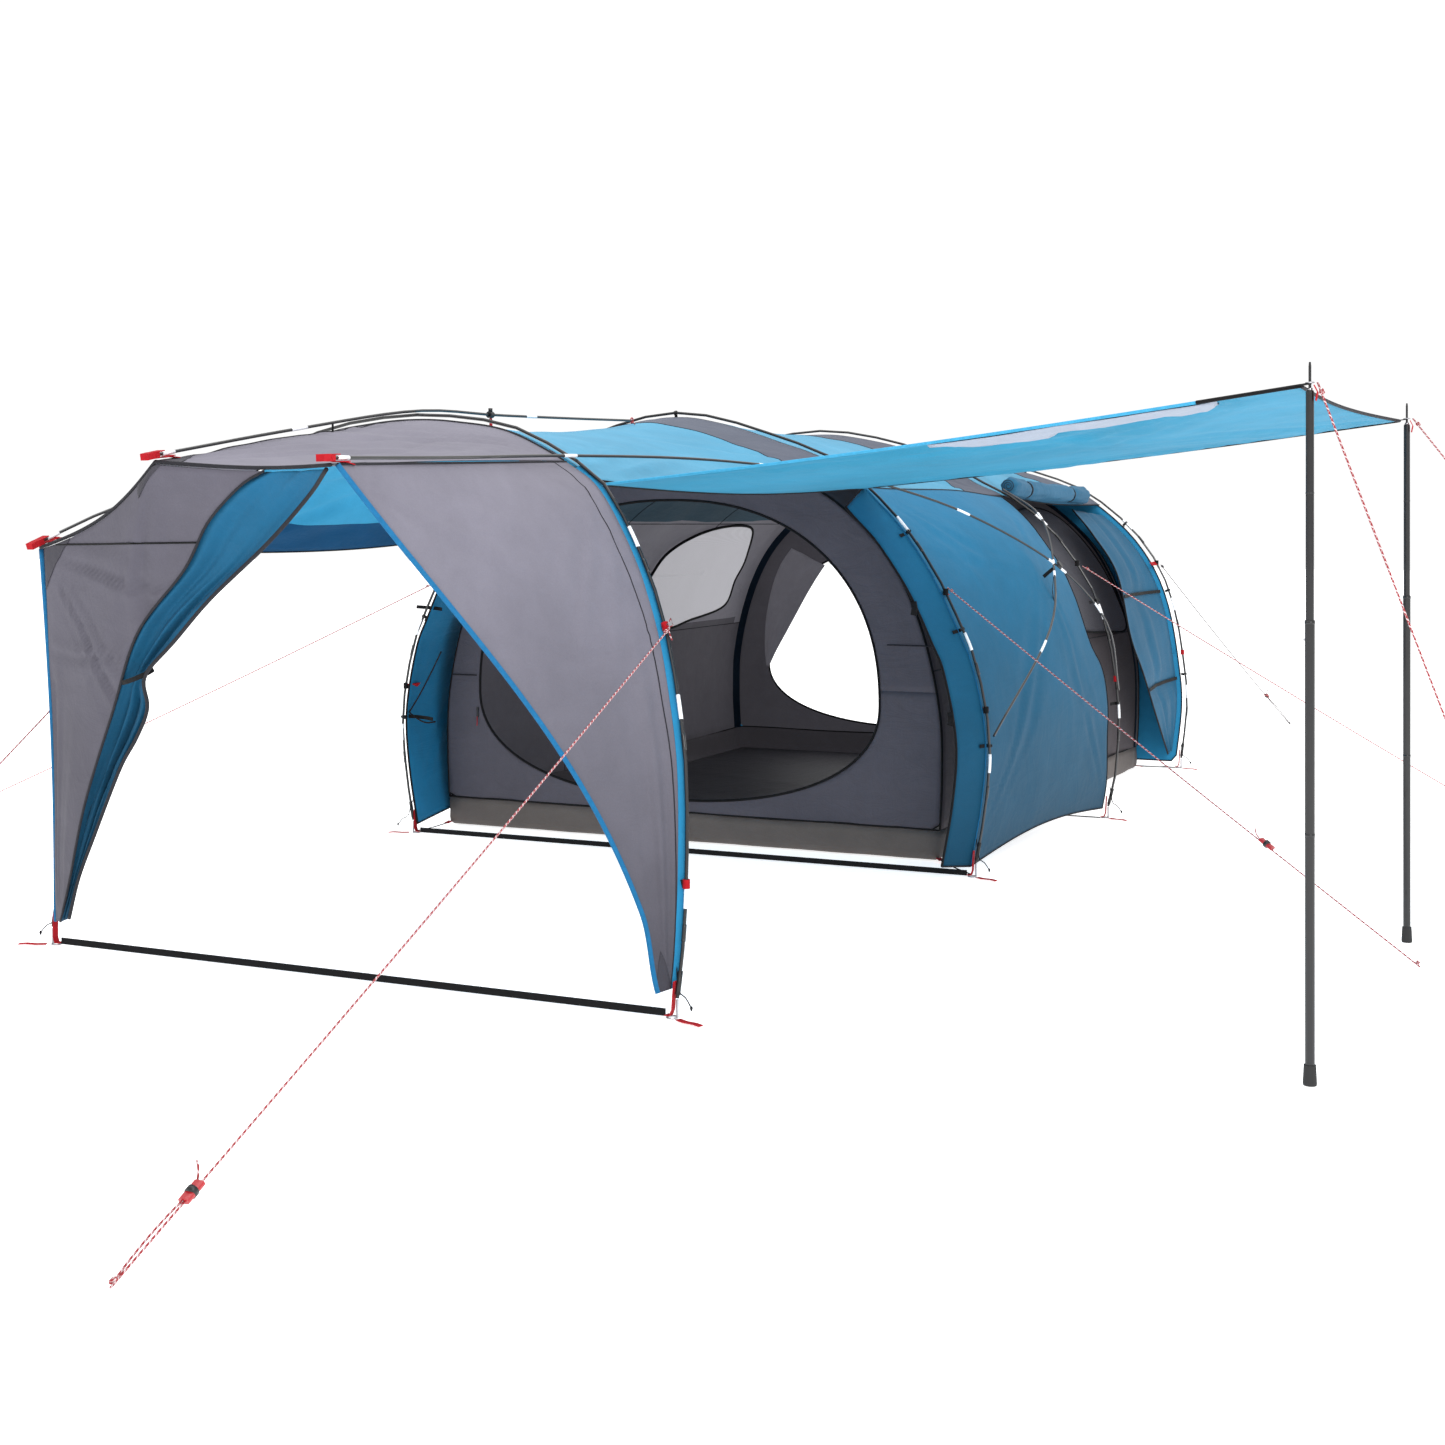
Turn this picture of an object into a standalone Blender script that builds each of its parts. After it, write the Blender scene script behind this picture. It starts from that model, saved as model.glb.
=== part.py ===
# Four-arch tunnel tent with a front porch and a side awning on two poles.
# Metres, +Z up.  +Y runs back along the tunnel, +X is the awning side.
# The tent's own coordinates start midway between the front arch's feet;
# SHIFT moves them so that the model's origin is the bottom centre of its box
# (free ropes left out).
import math

import bpy
import bmesh
from mathutils import Matrix, Vector

# ------------------------------------------------------------------ driving dimensions
SHIFT = Vector((-0.8317, -3.0002, 0.0))

POLE_R = 0.0065          # fibreglass arch poles
RIDGE_R = 0.0055         # porch and brace poles
ROPE_R = 0.0030          # guy ropes
CLOTH = 0.005            # thickness of every cloth stand-in
GAP = 0.004              # clearance between neighbouring cloths
INSET = 0.022            # cloth hangs this far inside its arch pole
FOOT_Z = 0.066           # where the poles start, above their foot pins

Y_A, Y_B, Y_C, Y_D = 0.0, 2.757, 4.700, 6.980
LEAN_A = 0.25            # the front arch leans back this much per metre of height

# half profiles, apex to foot: (half width, height)
HALF = {
    "a": [(0.0, 2.010), (0.19, 1.998), (0.43, 1.955), (0.70, 1.830), (0.85, 1.720), (1.02, 1.475),
          (1.13, 1.250), (1.205, 1.020), (1.262, 0.790), (1.300, 0.500), (1.318, 0.250), (1.316, 0.0)],
    "b": [(0.0, 2.140), (0.13, 2.130), (0.34, 2.080), (0.55, 2.010), (0.76, 1.935), (0.96, 1.805),
          (1.055, 1.710), (1.165, 1.595), (1.28, 1.435), (1.36, 1.299), (1.445, 1.118), (1.51, 0.961),
          (1.57, 0.640), (1.555, 0.350), (1.495, 0.0)],
    "c": [(0.0, 2.140), (0.18, 2.126), (0.487, 2.060), (0.75, 1.955), (0.957, 1.841), (1.10, 1.775),
          (1.322, 1.611), (1.467, 1.440), (1.56, 1.300), (1.625, 1.164), (1.687, 0.948), (1.725, 0.699),
          (1.736, 0.531), (1.714, 0.226), (1.660, 0.0)],
    "d": [(0.0, 2.050), (0.25, 2.035), (0.55, 1.985), (0.82, 1.905), (1.049, 1.800), (1.317, 1.580),
          (1.501, 1.330), (1.611, 1.036), (1.675, 0.644), (1.689, 0.400), (1.644, 0.0)],
    # the inner tent's cross-section
    "i": [(0.0, 1.930), (0.25, 1.915), (0.54, 1.850), (0.785, 1.740), (1.00, 1.560), (1.16, 1.350),
          (1.285, 1.050), (1.36, 0.700), (1.37, 0.400), (1.36, 0.150)],
}
ARCH = {"a": (Y_A, LEAN_A), "b": (Y_B, 0.0), "c": (Y_C, 0.0), "d": (Y_D, 0.0)}

POLE_1 = Vector((3.271, 0.110, 0.0))      # awning pole feet
POLE_2 = Vector((3.386, 2.163, 0.0))
CANOPY_Z = 1.995
SPIKE_Z = 2.062
LOWER_TOP = 1.326                         # top of each pole's lower tube
SLIDE = 0.33                              # how far the lower tube slides up

# porch pole tips
TIP_MID = Vector((0.0, -0.930, 1.811))
TIP_RIGHT = Vector((0.70, -1.000, 1.790))
TIP_LEFT = Vector((-0.80, -0.580, 1.540))

# guy ropes: (name, top, ground end, fraction of the way down where a tensioner sits or None)
ROPES = [
    ("guy_rope_front_right", (1.150, 0.305, 1.245), (1.159, -2.403, ROPE_R + 0.0005), 0.905),
    ("guy_rope_front_left", (-1.150, 0.305, 1.245), (-1.950, -0.520, ROPE_R + 0.0005), None),
    ("guy_rope_porch_left", (-1.390, 2.757, 1.290), (-4.150, 2.200, ROPE_R + 0.0005), None),
    ("guy_rope_middle_right", (1.372, 2.757, 1.310), (3.461, 1.736, ROPE_R + 0.0005), 0.725),
    ("guy_rope_rear_right", (1.535, 4.700, 1.370), (3.665, 5.390, ROPE_R + 0.0005), None),
    ("guy_rope_back_right", (1.520, 6.985, 1.330), (1.955, 9.998, ROPE_R + 0.0005), 0.79),
    ("guy_rope_awning_front", (3.292, 0.110, 2.004), (4.030, -0.020, ROPE_R + 0.0005), None),
    ("guy_rope_awning_rear", (3.407, 2.166, 2.004), (4.900, 2.450, ROPE_R + 0.0005), None),
]

# ------------------------------------------------------------------ scene set-up
for ob in list(bpy.data.objects):
    bpy.data.objects.remove(ob, do_unlink=True)
PARTS = bpy.data.collections.new("tunnel_tent")
bpy.context.scene.collection.children.link(PARTS)
CUTTERS = bpy.data.collections.new("cutters")
bpy.context.scene.collection.children.link(CUTTERS)

COLOURS = {
    "pole_black": ((0.015, 0.015, 0.017), 0.35, 0.0),
    "steel_black": ((0.020, 0.020, 0.022), 0.30, 0.6),
    "steel": ((0.55, 0.55, 0.55), 0.30, 1.0),
    "rubber": ((0.020, 0.020, 0.020), 0.80, 0.0),
    "plastic_black": ((0.02, 0.02, 0.022), 0.45, 0.0),
    "plastic_red": ((0.60, 0.02, 0.03), 0.45, 0.0),
    "webbing_black": ((0.015, 0.015, 0.016), 0.85, 0.0),
    "rope_red": ((0.55, 0.03, 0.05), 0.80, 0.0),
    "cloth_grey": ((0.25, 0.23, 0.26), 0.70, 0.0),
    "cloth_blue": ((0.03, 0.22, 0.42), 0.60, 0.0),
    "cloth_light_blue": ((0.20, 0.55, 0.75), 0.60, 0.0),
    "cloth_dark_grey": ((0.06, 0.07, 0.08), 0.75, 0.0),
    "groundsheet": ((0.13, 0.12, 0.11), 0.60, 0.0),
}


def material(node, kind):
    colour, rough, metal = COLOURS[kind]
    m = bpy.data.materials.new(node + "_" + kind)
    m.use_nodes = True
    b = m.node_tree.nodes["Principled BSDF"]
    b.inputs["Base Color"].default_value = (*colour, 1.0)
    b.inputs["Roughness"].default_value = rough
    b.inputs["Metallic"].default_value = metal
    return m


def add(name, data, kind, origin=None):
    ob = bpy.data.objects.new(name, data)
    PARTS.objects.link(ob)
    data.materials.append(material(name, kind))
    if origin is not None:
        ob.location = Vector(origin) + SHIFT
    return ob


# ------------------------------------------------------------------ curves
def catmull(pts, n):
    """n+1 points along a smooth curve through pts, evenly spread by length."""
    p = [Vector(q) for q in pts]
    p = [p[0] * 2 - p[1]] + p + [p[-1] * 2 - p[-2]]
    dense = []
    for i in range(1, len(p) - 2):
        for j in range(16):
            t = j / 16
            a, b, c, d = p[i - 1], p[i], p[i + 1], p[i + 2]
            dense.append(0.5 * ((2 * b) + (c - a) * t + (2 * a - 5 * b + 4 * c - d) * t * t
                                + (3 * b - a - 3 * c + d) * t ** 3))
    dense.append(p[-2].copy())
    return even(dense, n)


def even(dense, n):
    acc = [0.0]
    for a, b in zip(dense, dense[1:]):
        acc.append(acc[-1] + (b - a).length)
    out, k = [], 0
    for i in range(n + 1):
        s = acc[-1] * i / n
        while k < len(acc) - 2 and acc[k + 1] < s:
            k += 1
        f = (s - acc[k]) / max(acc[k + 1] - acc[k], 1e-9)
        out.append(dense[k].lerp(dense[k + 1], min(max(f, 0.0), 1.0)))
    return out


class Profile:
    """A symmetric arch profile: u is 0 at the apex and 1 or -1 at a foot."""

    def __init__(self, table):
        pts = [Vector((x, 0, z)) for x, z in table]
        mirrored = [Vector((-table[1][0], 0, table[1][1]))] + pts
        full = catmull(mirrored, 240)
        start = next(i for i, q in enumerate(full) if q.x >= 0)
        self.p = even([Vector((0, 0, table[0][1]))] + full[start:], 120)

    def at(self, u, inset=0.0):
        s = min(abs(u), 1.0) * 120
        i = min(int(s), 119)
        q = self.p[i].lerp(self.p[i + 1], s - i)
        lo, hi = self.p[max(i - 1, 0)], self.p[min(i + 2, 120)]
        t = (hi - lo).normalized()
        if abs(u) < 1e-6:
            t = Vector((1, 0, 0))
        n = Vector((-t.z, 0, t.x))          # outward for the right half
        if n.z < 0 and n.x < 0:
            n = -n
        q = q - n * inset
        x = max(q.x, 0.0)
        return (math.copysign(x, u) if u else 0.0), q.z

    def u_at_z(self, z):
        lo, hi = 0.0, 1.0
        for _ in range(40):
            mid = (lo + hi) / 2
            if self.at(mid)[1] > z:
                lo = mid
            else:
                hi = mid
        return (lo + hi) / 2


PROF = {k: Profile(t) for k, t in HALF.items()}


def arch(k, u, inset=0.0, dy=0.0):
    x, z = PROF[k].at(u, inset)
    y, lean = ARCH[k]
    return Vector((x, y + lean * z + dy, z))


# ------------------------------------------------------------------ builders
def tube(name, pts, radius, kind, origin=None, res=2):
    cu = bpy.data.curves.new(name, "CURVE")
    cu.dimensions = "3D"
    cu.bevel_depth = radius
    cu.bevel_resolution = res
    cu.use_fill_caps = True
    sp = cu.splines.new("POLY")
    sp.points.add(len(pts) - 1)
    o = Vector(origin) if origin is not None else -SHIFT
    for i, q in enumerate(pts):
        sp.points[i].co = (*(Vector(q) - o), 1.0)
    ob = add(name, cu, kind, origin)
    return ob


def grid_mesh(name, rows):
    """An open surface through rows of points."""
    me = bpy.data.meshes.new(name)
    bm = bmesh.new()
    vs = [[bm.verts.new(Vector(q) + SHIFT) for q in row] for row in rows]
    for i in range(len(vs) - 1):
        for j in range(len(vs[0]) - 1):
            bm.faces.new((vs[i][j], vs[i][j + 1], vs[i + 1][j + 1], vs[i + 1][j]))
    bmesh.ops.recalc_face_normals(bm, faces=bm.faces)
    bm.to_mesh(me)
    bm.free()
    return me


def sheet(name, rows, kind, thick=CLOTH):
    ob = add(name, grid_mesh(name, rows), kind)
    so = ob.modifiers.new("thickness", "SOLIDIFY")
    so.thickness = thick
    so.offset = 0.0
    so.use_even_offset = True
    return ob


def plate(name, outlines, thick, kind, matrix, origin=None):
    """A flat outline, with holes, as a 2D curve with thickness."""
    cu = bpy.data.curves.new(name, "CURVE")
    cu.dimensions = "2D"
    cu.fill_mode = "BOTH"
    cu.extrude = thick / 2
    for line in outlines:
        sp = cu.splines.new("POLY")
        sp.points.add(len(line) - 1)
        for i, (x, y) in enumerate(line):
            sp.points[i].co = (x, y, 0, 1)
        sp.use_cyclic_u = True
    ob = add(name, cu, kind)
    m = matrix.copy()
    m.translation = m.translation + SHIFT
    ob.matrix_world = m
    return ob


def upright(x, y, z):
    """A plate's plane stood up: its x along +X, its y along +Z."""
    return Matrix.Translation((x, y, z)) @ Matrix.Rotation(math.radians(90), 4, "X")


def along(direction, at):
    """A matrix whose +Z runs along a direction."""
    q = Vector(direction).normalized().to_track_quat("Z", "Y")
    return Matrix.Translation(at) @ q.to_matrix().to_4x4()


def turned(name, profile, kind, origin, steps=20):
    me = bpy.data.meshes.new(name)
    bm = bmesh.new()
    vs = [bm.verts.new((r, 0, z)) for r, z in profile]
    for a, b in zip(vs, vs[1:]):
        bm.edges.new((a, b))
    bm.to_mesh(me)
    bm.free()
    ob = add(name, me, kind, origin)
    sc = ob.modifiers.new("turn", "SCREW")
    sc.steps = steps
    sc.render_steps = steps
    sc.use_merge_vertices = True
    sc.merge_threshold = 0.0001
    sc.use_smooth_shade = True
    return ob


def ellipse(rx, ry, n=28, cx=0.0, cy=0.0, power=2.0):
    out = []
    for i in range(n):
        t = 2 * math.pi * i / n
        c, s = math.cos(t), math.sin(t)
        out.append((cx + rx * math.copysign(abs(c) ** (2 / power), c),
                    cy + ry * math.copysign(abs(s) ** (2 / power), s)))
    return out


# ------------------------------------------------------------------ arch poles and their feet
FEET = {}
for key, label in (("a", "front"), ("b", "porch"), ("c", "middle"), ("d", "rear")):
    ue = PROF[key].u_at_z(FOOT_Z)
    n = 36
    tube("arch_pole_" + label, [arch(key, -ue + 2 * ue * i / n) for i in range(n + 1)],
         POLE_R, "pole_black")
    for side, sg in (("left", -1), ("right", 1)):
        FEET[(label, side)] = arch(key, sg * ue)


def foot_pin_mesh():
    """A wire ring lying on the ground with the pin that the pole's end stands on."""
    bpy.ops.mesh.primitive_torus_add(major_radius=0.018, minor_radius=0.003, major_segments=14,
                                     minor_segments=6, location=(0.018, 0, 0.0031))
    ring = bpy.context.object
    bpy.ops.mesh.primitive_cylinder_add(vertices=10, radius=0.0045, depth=0.0595,
                                        location=(0.0, 0, 0.03225))
    pin = bpy.context.object
    for ob in (ring, pin):
        for col in list(ob.users_collection):
            col.objects.unlink(ob)
        CUTTERS.objects.link(ob)
        ob.hide_render = True
        ob.display_type = "WIRE"
    mo = ring.modifiers.new("join", "BOOLEAN")
    mo.operation = "UNION"
    mo.object = pin
    dg = bpy.context.evaluated_depsgraph_get()
    me = bpy.data.meshes.new_from_object(ring.evaluated_get(dg))
    me.transform(ring.matrix_world)
    bpy.data.objects.remove(ring, do_unlink=True)
    bpy.data.objects.remove(pin, do_unlink=True)
    return me


PIN = foot_pin_mesh()
for (label, side), p in FEET.items():
    me = PIN.copy()
    me.materials.clear()
    ob = add("foot_pin_%s_%s" % (label, side), me, "steel", (p.x, p.y, 0.0))
    ob.rotation_euler = (0, 0, math.pi if side == "right" else 0.0)

# ground straps between each arch's two feet, just above the ground
for key, label in (("a", "front"), ("b", "porch"), ("c", "middle"), ("d", "rear")):
    l, r = FEET[(label, "left")], FEET[(label, "right")]
    half = (r.x - l.x) / 2 - 0.042
    y = l.y
    # the front and porch straps are pulled tight on edge; the other two lie flat under the groundsheet
    on_edge = label in ("front", "porch")
    low, high = ((0.0, 0.0045), (0.0, 0.0295)) if on_edge else ((-0.0125, 0.0016), (0.0125, 0.0016))
    sheet("ground_strap_" + label,
          [[Vector((-half + 2 * half * i / 8, y + dy, z)) for i in range(9)] for dy, z in (low, high)],
          "webbing_black", 0.002)

# ------------------------------------------------------------------ porch poles
up_a = PROF["a"].at(0)[1]
ridge = [TIP_MID, (0, -0.25, 1.920), (0, Y_A + LEAN_A * up_a, up_a + POLE_R + RIDGE_R + 0.003),
         (0, 1.10, 2.040), (0, 1.75, 2.060), (0, 2.27, 2.078)]
RIDGE = catmull(ridge, 26)
tube("porch_ridge_pole", RIDGE, RIDGE_R, "pole_black")

uR = PROF["a"].u_at_z(1.830)
uL = PROF["a"].u_at_z(1.800)


def outside(k, u, d, dy=0.0):
    return arch(k, u, -d, dy)


PUR_R = catmull([TIP_RIGHT, Vector((0.705, -0.35, 1.812)), outside("a", uR, 0.0165),
                 Vector((0.80, 1.45, 1.858)), outside("b", PROF["b"].u_at_z(1.805), 0.020, -0.055)], 26)
tube("porch_purlin_right", PUR_R, RIDGE_R, "pole_black")
PUR_L = catmull([TIP_LEFT, Vector((-0.785, -0.20, 1.668)), outside("a", -uL, 0.0165),
                 Vector((-0.84, 1.45, 1.840)), outside("b", -PROF["b"].u_at_z(1.805), 0.020, -0.055)], 26)
tube("porch_purlin_left", PUR_L, RIDGE_R, "pole_black")

# the clip that holds the ridge pole over the roof, behind the front arch
i = 16
plate("ridge_clip", [ellipse(0.0135, 0.0135, 18), ellipse(0.0066, 0.0066, 16)], 0.026, "plastic_black",
      along((RIDGE[i + 1] - RIDGE[i - 1]).normalized(), RIDGE[i]))

# ------------------------------------------------------------------ brace poles, right side
HUB = Vector((1.600, 3.850, 1.383))
B_TOP = outside("b", PROF["b"].u_at_z(1.800), 0.014, 0.022)
B_LOW = outside("b", PROF["b"].u_at_z(0.640), 0.014, 0.022)
C_TOP = outside("c", PROF["c"].u_at_z(1.780), 0.014, -0.022)
C_LOW = outside("c", PROF["c"].u_at_z(0.700), 0.014, -0.022)
tube("brace_pole_front", catmull([B_TOP, Vector((1.295, 3.280, 1.655)), HUB + Vector((0.009, 0, 0.006)),
                                  Vector((1.760, 4.30, 1.080)), C_LOW], 22), RIDGE_R, "pole_black")
tube("brace_pole_rear", catmull([C_TOP, Vector((1.410, 4.28, 1.640)), HUB - Vector((0.009, 0, 0.006)),
                                 Vector((1.690, 3.36, 1.080)), B_LOW], 22), RIDGE_R, "pole_black")
hub_n = Vector((0.83, 0, 0.55)).normalized()
plate("brace_hub", [ellipse(0.020, 0.020, 18)], 0.012, "plastic_black",
      along(hub_n, HUB + hub_n * (0.011 + 0.0055 + 0.006 + 0.002)))

# ------------------------------------------------------------------ awning poles
for n, foot in ((1, POLE_1), (2, POLE_2)):
    turned("awning_pole_%d_foot" % n,
           [(0, 0.0297), (0.0144, 0.0297), (0.0144, 0.058), (0.0175, 0.058), (0.0200, 0.006),
            (0.0190, 0.0), (0, 0.0)], "rubber", foot)
    turned("awning_pole_%d_lower" % n,
           [(0, 0.600), (0.0122, 0.600), (0.0122, LOWER_TOP), (0.0140, LOWER_TOP), (0.0140, 0.030),
            (0, 0.030)], "steel_black", foot)
    turned("awning_pole_%d_upper" % n,
           [(0, SPIKE_Z), (0.0028, SPIKE_Z), (0.0040, SPIKE_Z - 0.012), (0.0040, 1.984), (0.0110, 1.980),
            (0.0116, 1.972), (0.0116, 1.100), (0, 1.100)], "steel_black", foot)

# ------------------------------------------------------------------ fly sheets
def lerp_rows(first, last, count, bend=None):
    rows = []
    for i in range(count + 1):
        t = i / count
        rows.append([a.lerp(b, t) + (bend(t, j / (len(first) - 1)) if bend else Vector())
                     for j, (a, b) in enumerate(zip(first, last))])
    return rows


def span(k, u0, u1, n, inset=INSET, dy=0.0):
    return [arch(k, u0 + (u1 - u0) * j / n, inset, dy) for j in range(n + 1)]


def sag(depth):
    """Cloth pulls in a little between two arches."""
    return lambda t, s: Vector((0, 0, -depth * math.sin(math.pi * t)))


uaL, uaR = PROF["a"].u_at_z(1.50), PROF["a"].u_at_z(1.775)
ubL, ubR = PROF["b"].u_at_z(1.56), PROF["b"].u_at_z(1.800)
ucR, udR = PROF["c"].u_at_z(1.775), PROF["d"].u_at_z(1.745)
sheet("fly_roof_front", lerp_rows(span("a", -uaL, uaR, 16, INSET, 0.030),
                                  span("b", -ubL, ubR, 16, INSET, -GAP), 4, sag(0.06)),
      "cloth_light_blue")
sheet("fly_roof_middle", lerp_rows(span("b", -ubR, ubR, 16, INSET, GAP),
                                   span("c", -ucR, ucR, 16, INSET, -GAP), 3, sag(0.03)),
      "cloth_light_blue")
sheet("fly_roof_rear", lerp_rows(span("c", -ucR, ucR, 16, INSET, GAP),
                                 span("d", -udR, udR, 16, INSET, -GAP), 3, sag(0.03)),
      "cloth_light_blue")


PAST_B = 0.150    # the side walls run this far in front of the porch arch


def side_wall(name, sg, kb, kc, u0, u1, z_hem, past=True):
    """A wall from below the roof's edge to a hem just off the ground."""
    eb, ec = PROF[kb].u_at_z(z_hem[0]), PROF[kc].u_at_z(z_hem[1])
    d = 0.006
    rows = [span(kb, sg * (u0 + 0.022), sg * eb, 12, INSET + 0.090, -PAST_B)] if past else []
    rows += lerp_rows(span(kb, sg * (u0 + d), sg * eb, 12, INSET),
                     span(kc, sg * (u1 + d), sg * ec, 12, INSET, -GAP), 4,
                     lambda t, s: Vector((sg * 0.035 * math.sin(math.pi * t) * math.sin(math.pi * min(s * 1.3, 1)),
                                          0, 0.055 * math.sin(math.pi * t) * s ** 6)))
    return sheet(name, rows, "cloth_blue")


side_wall("fly_side_right", 1, "b", "c", ubR, ucR, (0.045, 0.050))
side_wall("fly_side_left", -1, "b", "c", ubR, ucR, (0.045, 0.050), False)


def wall_outline(k, z0, inset, n=26):
    ue = PROF[k].u_at_z(z0 + 0.0)
    pts = []
    for j in range(n + 1):
        x, z = PROF[k].at(-ue + 2 * ue * j / n, inset)
        pts.append((x, max(z, z0)))
    return pts


def doorway(cx, cz, rx, up, low, n=30, power=2.25):
    """A round doorway, taller above its widest line than below it."""
    out = []
    for i in range(n):
        t = 2 * math.pi * i / n
        c, s = math.cos(t), math.sin(t)
        out.append((cx + rx * math.copysign(abs(c) ** (2 / power), c),
                    cz + (up if s > 0 else low) * math.copysign(abs(s) ** (2 / power), s)))
    return out


X_IN0, X_IN1 = -0.12, -0.03     # the inner tent's middle at its front and rear walls
WIDER = 1.045                 # how much wider the inner tent is at the rear


# rear wall of the fly with its round doorway, then the inner tent's two walls with theirs
plate("fly_rear_wall", [wall_outline("d", 0.045, INSET + 0.006),
                        doorway(-0.10, 0.640, 1.180, 0.960, 0.520)], CLOTH, "cloth_blue",
      upright(0, Y_D - 0.030, 0))
Y_IN0, Y_IN1 = 3.060, 6.850
plate("inner_front_wall", [wall_outline("i", 0.170, 0.0),
                           doorway(-0.175 - X_IN0, 0.730, 1.115, 0.990, 0.520)], CLOTH, "cloth_dark_grey",
      upright(X_IN0, Y_IN0, 0))
plate("inner_rear_wall", [[(x * WIDER, z) for x, z in wall_outline("i", 0.170, 0.0)],
                          doorway(-0.17 - X_IN1, 0.620, 1.050, 0.840, 0.420)], CLOTH, "cloth_dark_grey",
      upright(X_IN1, Y_IN1, 0))
ui = PROF["i"].u_at_z(0.172)
sheet("inner_tent_shell",
      [[Vector((X_IN0 + (X_IN1 - X_IN0) * t + PROF["i"].at(-ui + 2 * ui * j / 26)[0] * (1 + (WIDER - 1) * t),
                Y_IN0 + 0.006 + (Y_IN1 - Y_IN0 - 0.012) * t, PROF["i"].at(-ui + 2 * ui * j / 26)[1]))
        for j in range(27)] for t in (0.0, 0.33, 0.67, 1.0)],
      "cloth_dark_grey")

# bath-tub groundsheet: an open tray with low walls
tw, tl, th = 1.353, (Y_IN1 - Y_IN0) / 2 + 0.004, 0.150
me = bpy.data.meshes.new("tub_groundsheet")
bm = bmesh.new()
bmesh.ops.create_cube(bm, size=1.0)
bmesh.ops.scale(bm, vec=(2 * tw, 2 * tl, th), verts=bm.verts)
for v in bm.verts:
    v.co.x = v.co.x * WIDER + X_IN1 if v.co.y > 0 else v.co.x + X_IN0
bmesh.ops.translate(bm, vec=Vector((0, (Y_IN0 + Y_IN1) / 2, th / 2 + 0.0085)) + SHIFT, verts=bm.verts)
bmesh.ops.delete(bm, geom=[f for f in bm.faces if f.normal.z > 0.9], context="FACES_ONLY")
bm.to_mesh(me)
bm.free()
ob = add("tub_groundsheet", me, "groundsheet")
so = ob.modifiers.new("thickness", "SOLIDIFY")
so.thickness, so.offset, so.use_even_offset = 0.004, 1.0, True

# ------------------------------------------------------------------ porch cloth
DROP = 0.020      # the porch cloth hangs this far under its poles


def hem(k):
    """The front hem of the porch roof, 0 at the left tip, 1 at the right tip."""
    low = Vector((0, 0, -DROP))
    if k < 0.5:
        t = k * 2
        return TIP_LEFT.lerp(TIP_MID, t) + low + Vector((0.02, 0.02, -0.030)) * math.sin(math.pi * t)
    t = k * 2 - 1
    return TIP_MID.lerp(TIP_RIGHT, t) + low + Vector((0, 0.05, -0.012)) * math.sin(math.pi * t)


ROOF_N = 14
uPR, uPL = uR - 0.012, uL - 0.012
back = [arch("a", -uPL + (uPL + uPR) * j / ROOF_N, INSET, -0.012) for j in range(ROOF_N + 1)]
front = [hem(j / ROOF_N) for j in range(ROOF_N + 1)]
sheet("porch_roof",
      lerp_rows(front, back, 5, lambda t, s: Vector((0, 0, -0.020 * math.sin(math.pi * t)
                                                     * abs(math.sin(2 * math.pi * s))
                                                     + 0.004 * math.sin(math.pi * t)))),
      "cloth_grey")

FOOT_R = Vector((1.288, 0.0, 0.095))
FOOT_L = Vector((-1.288, 0.0, 0.095))


def edge_right(t):
    """Front edge of the right wing: tip to foot, bowed back."""
    p = (TIP_RIGHT + Vector((0.012, 0.02, -DROP - 0.008))).lerp(FOOT_R, t)
    return p + Vector((0.0, 0.30, 0.03)) * (math.sin(math.pi * t) ** 1.0) * (0.35 + 0.65 * t)


NW = 16
ueA = PROF["a"].u_at_z(0.095)
rows = []
for i in range(NW + 1):
    t = i / NW
    b = arch("a", (uR + 0.012) + (ueA - uR - 0.012) * t, INSET, -0.010)
    f = edge_right(t)
    if t == 1.0:
        f = f + Vector((-0.006, -0.055, 0))
    rows.append([f.lerp(b, j / 4) for j in range(5)])
sheet("porch_wing_right", rows, "cloth_grey")


def zip_line(t):
    """Where the porch door is zipped to the left wing: front hem to the left foot."""
    pts = [hem(0.79) + Vector((0, 0, -0.008)), Vector((0.300, -0.90, 1.715)), Vector((0.125, -0.835, 1.605)),
           Vector((-0.035, -0.755, 1.455)), Vector((-0.315, -0.65, 1.245)), Vector((-0.555, -0.50, 0.965)),
           Vector((-0.845, -0.32, 0.610)), Vector((-1.065, -0.16, 0.300)), Vector((-1.205, -0.06, 0.110))]
    return catmull(pts, 64)[int(round(t * 64))]


def edge_left(t):
    a = TIP_LEFT + Vector((-0.012, 0.015, -DROP - 0.006))
    p = a.lerp(FOOT_L, t)
    return p + Vector((0.0, 0.02, 0.0)) * math.sin(math.pi * t)


rows = []
uLW = uL + 0.012
for i in range(NW + 1):
    t = i / NW
    z = zip_line(t)
    e = edge_left(t)
    b = arch("a", -(uLW + (ueA - uLW) * t), INSET, -0.012)
    if i == 0:
        # the top row follows the hem from the zip to the left tip, then the purlin
        top = [hem(0.79 - (0.79 - 0.02) * j / 6) + Vector((0, -0.004, -0.010)) for j in range(7)]
        top += [e.lerp(b, 0.5), b]
        rows.append(top)
    else:
        row = [z.lerp(e, j / 6) for j in range(7)] + [e.lerp(b, 0.5), b]
        rows.append(row)
sheet("porch_wing_left", rows, "cloth_grey")


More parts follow.
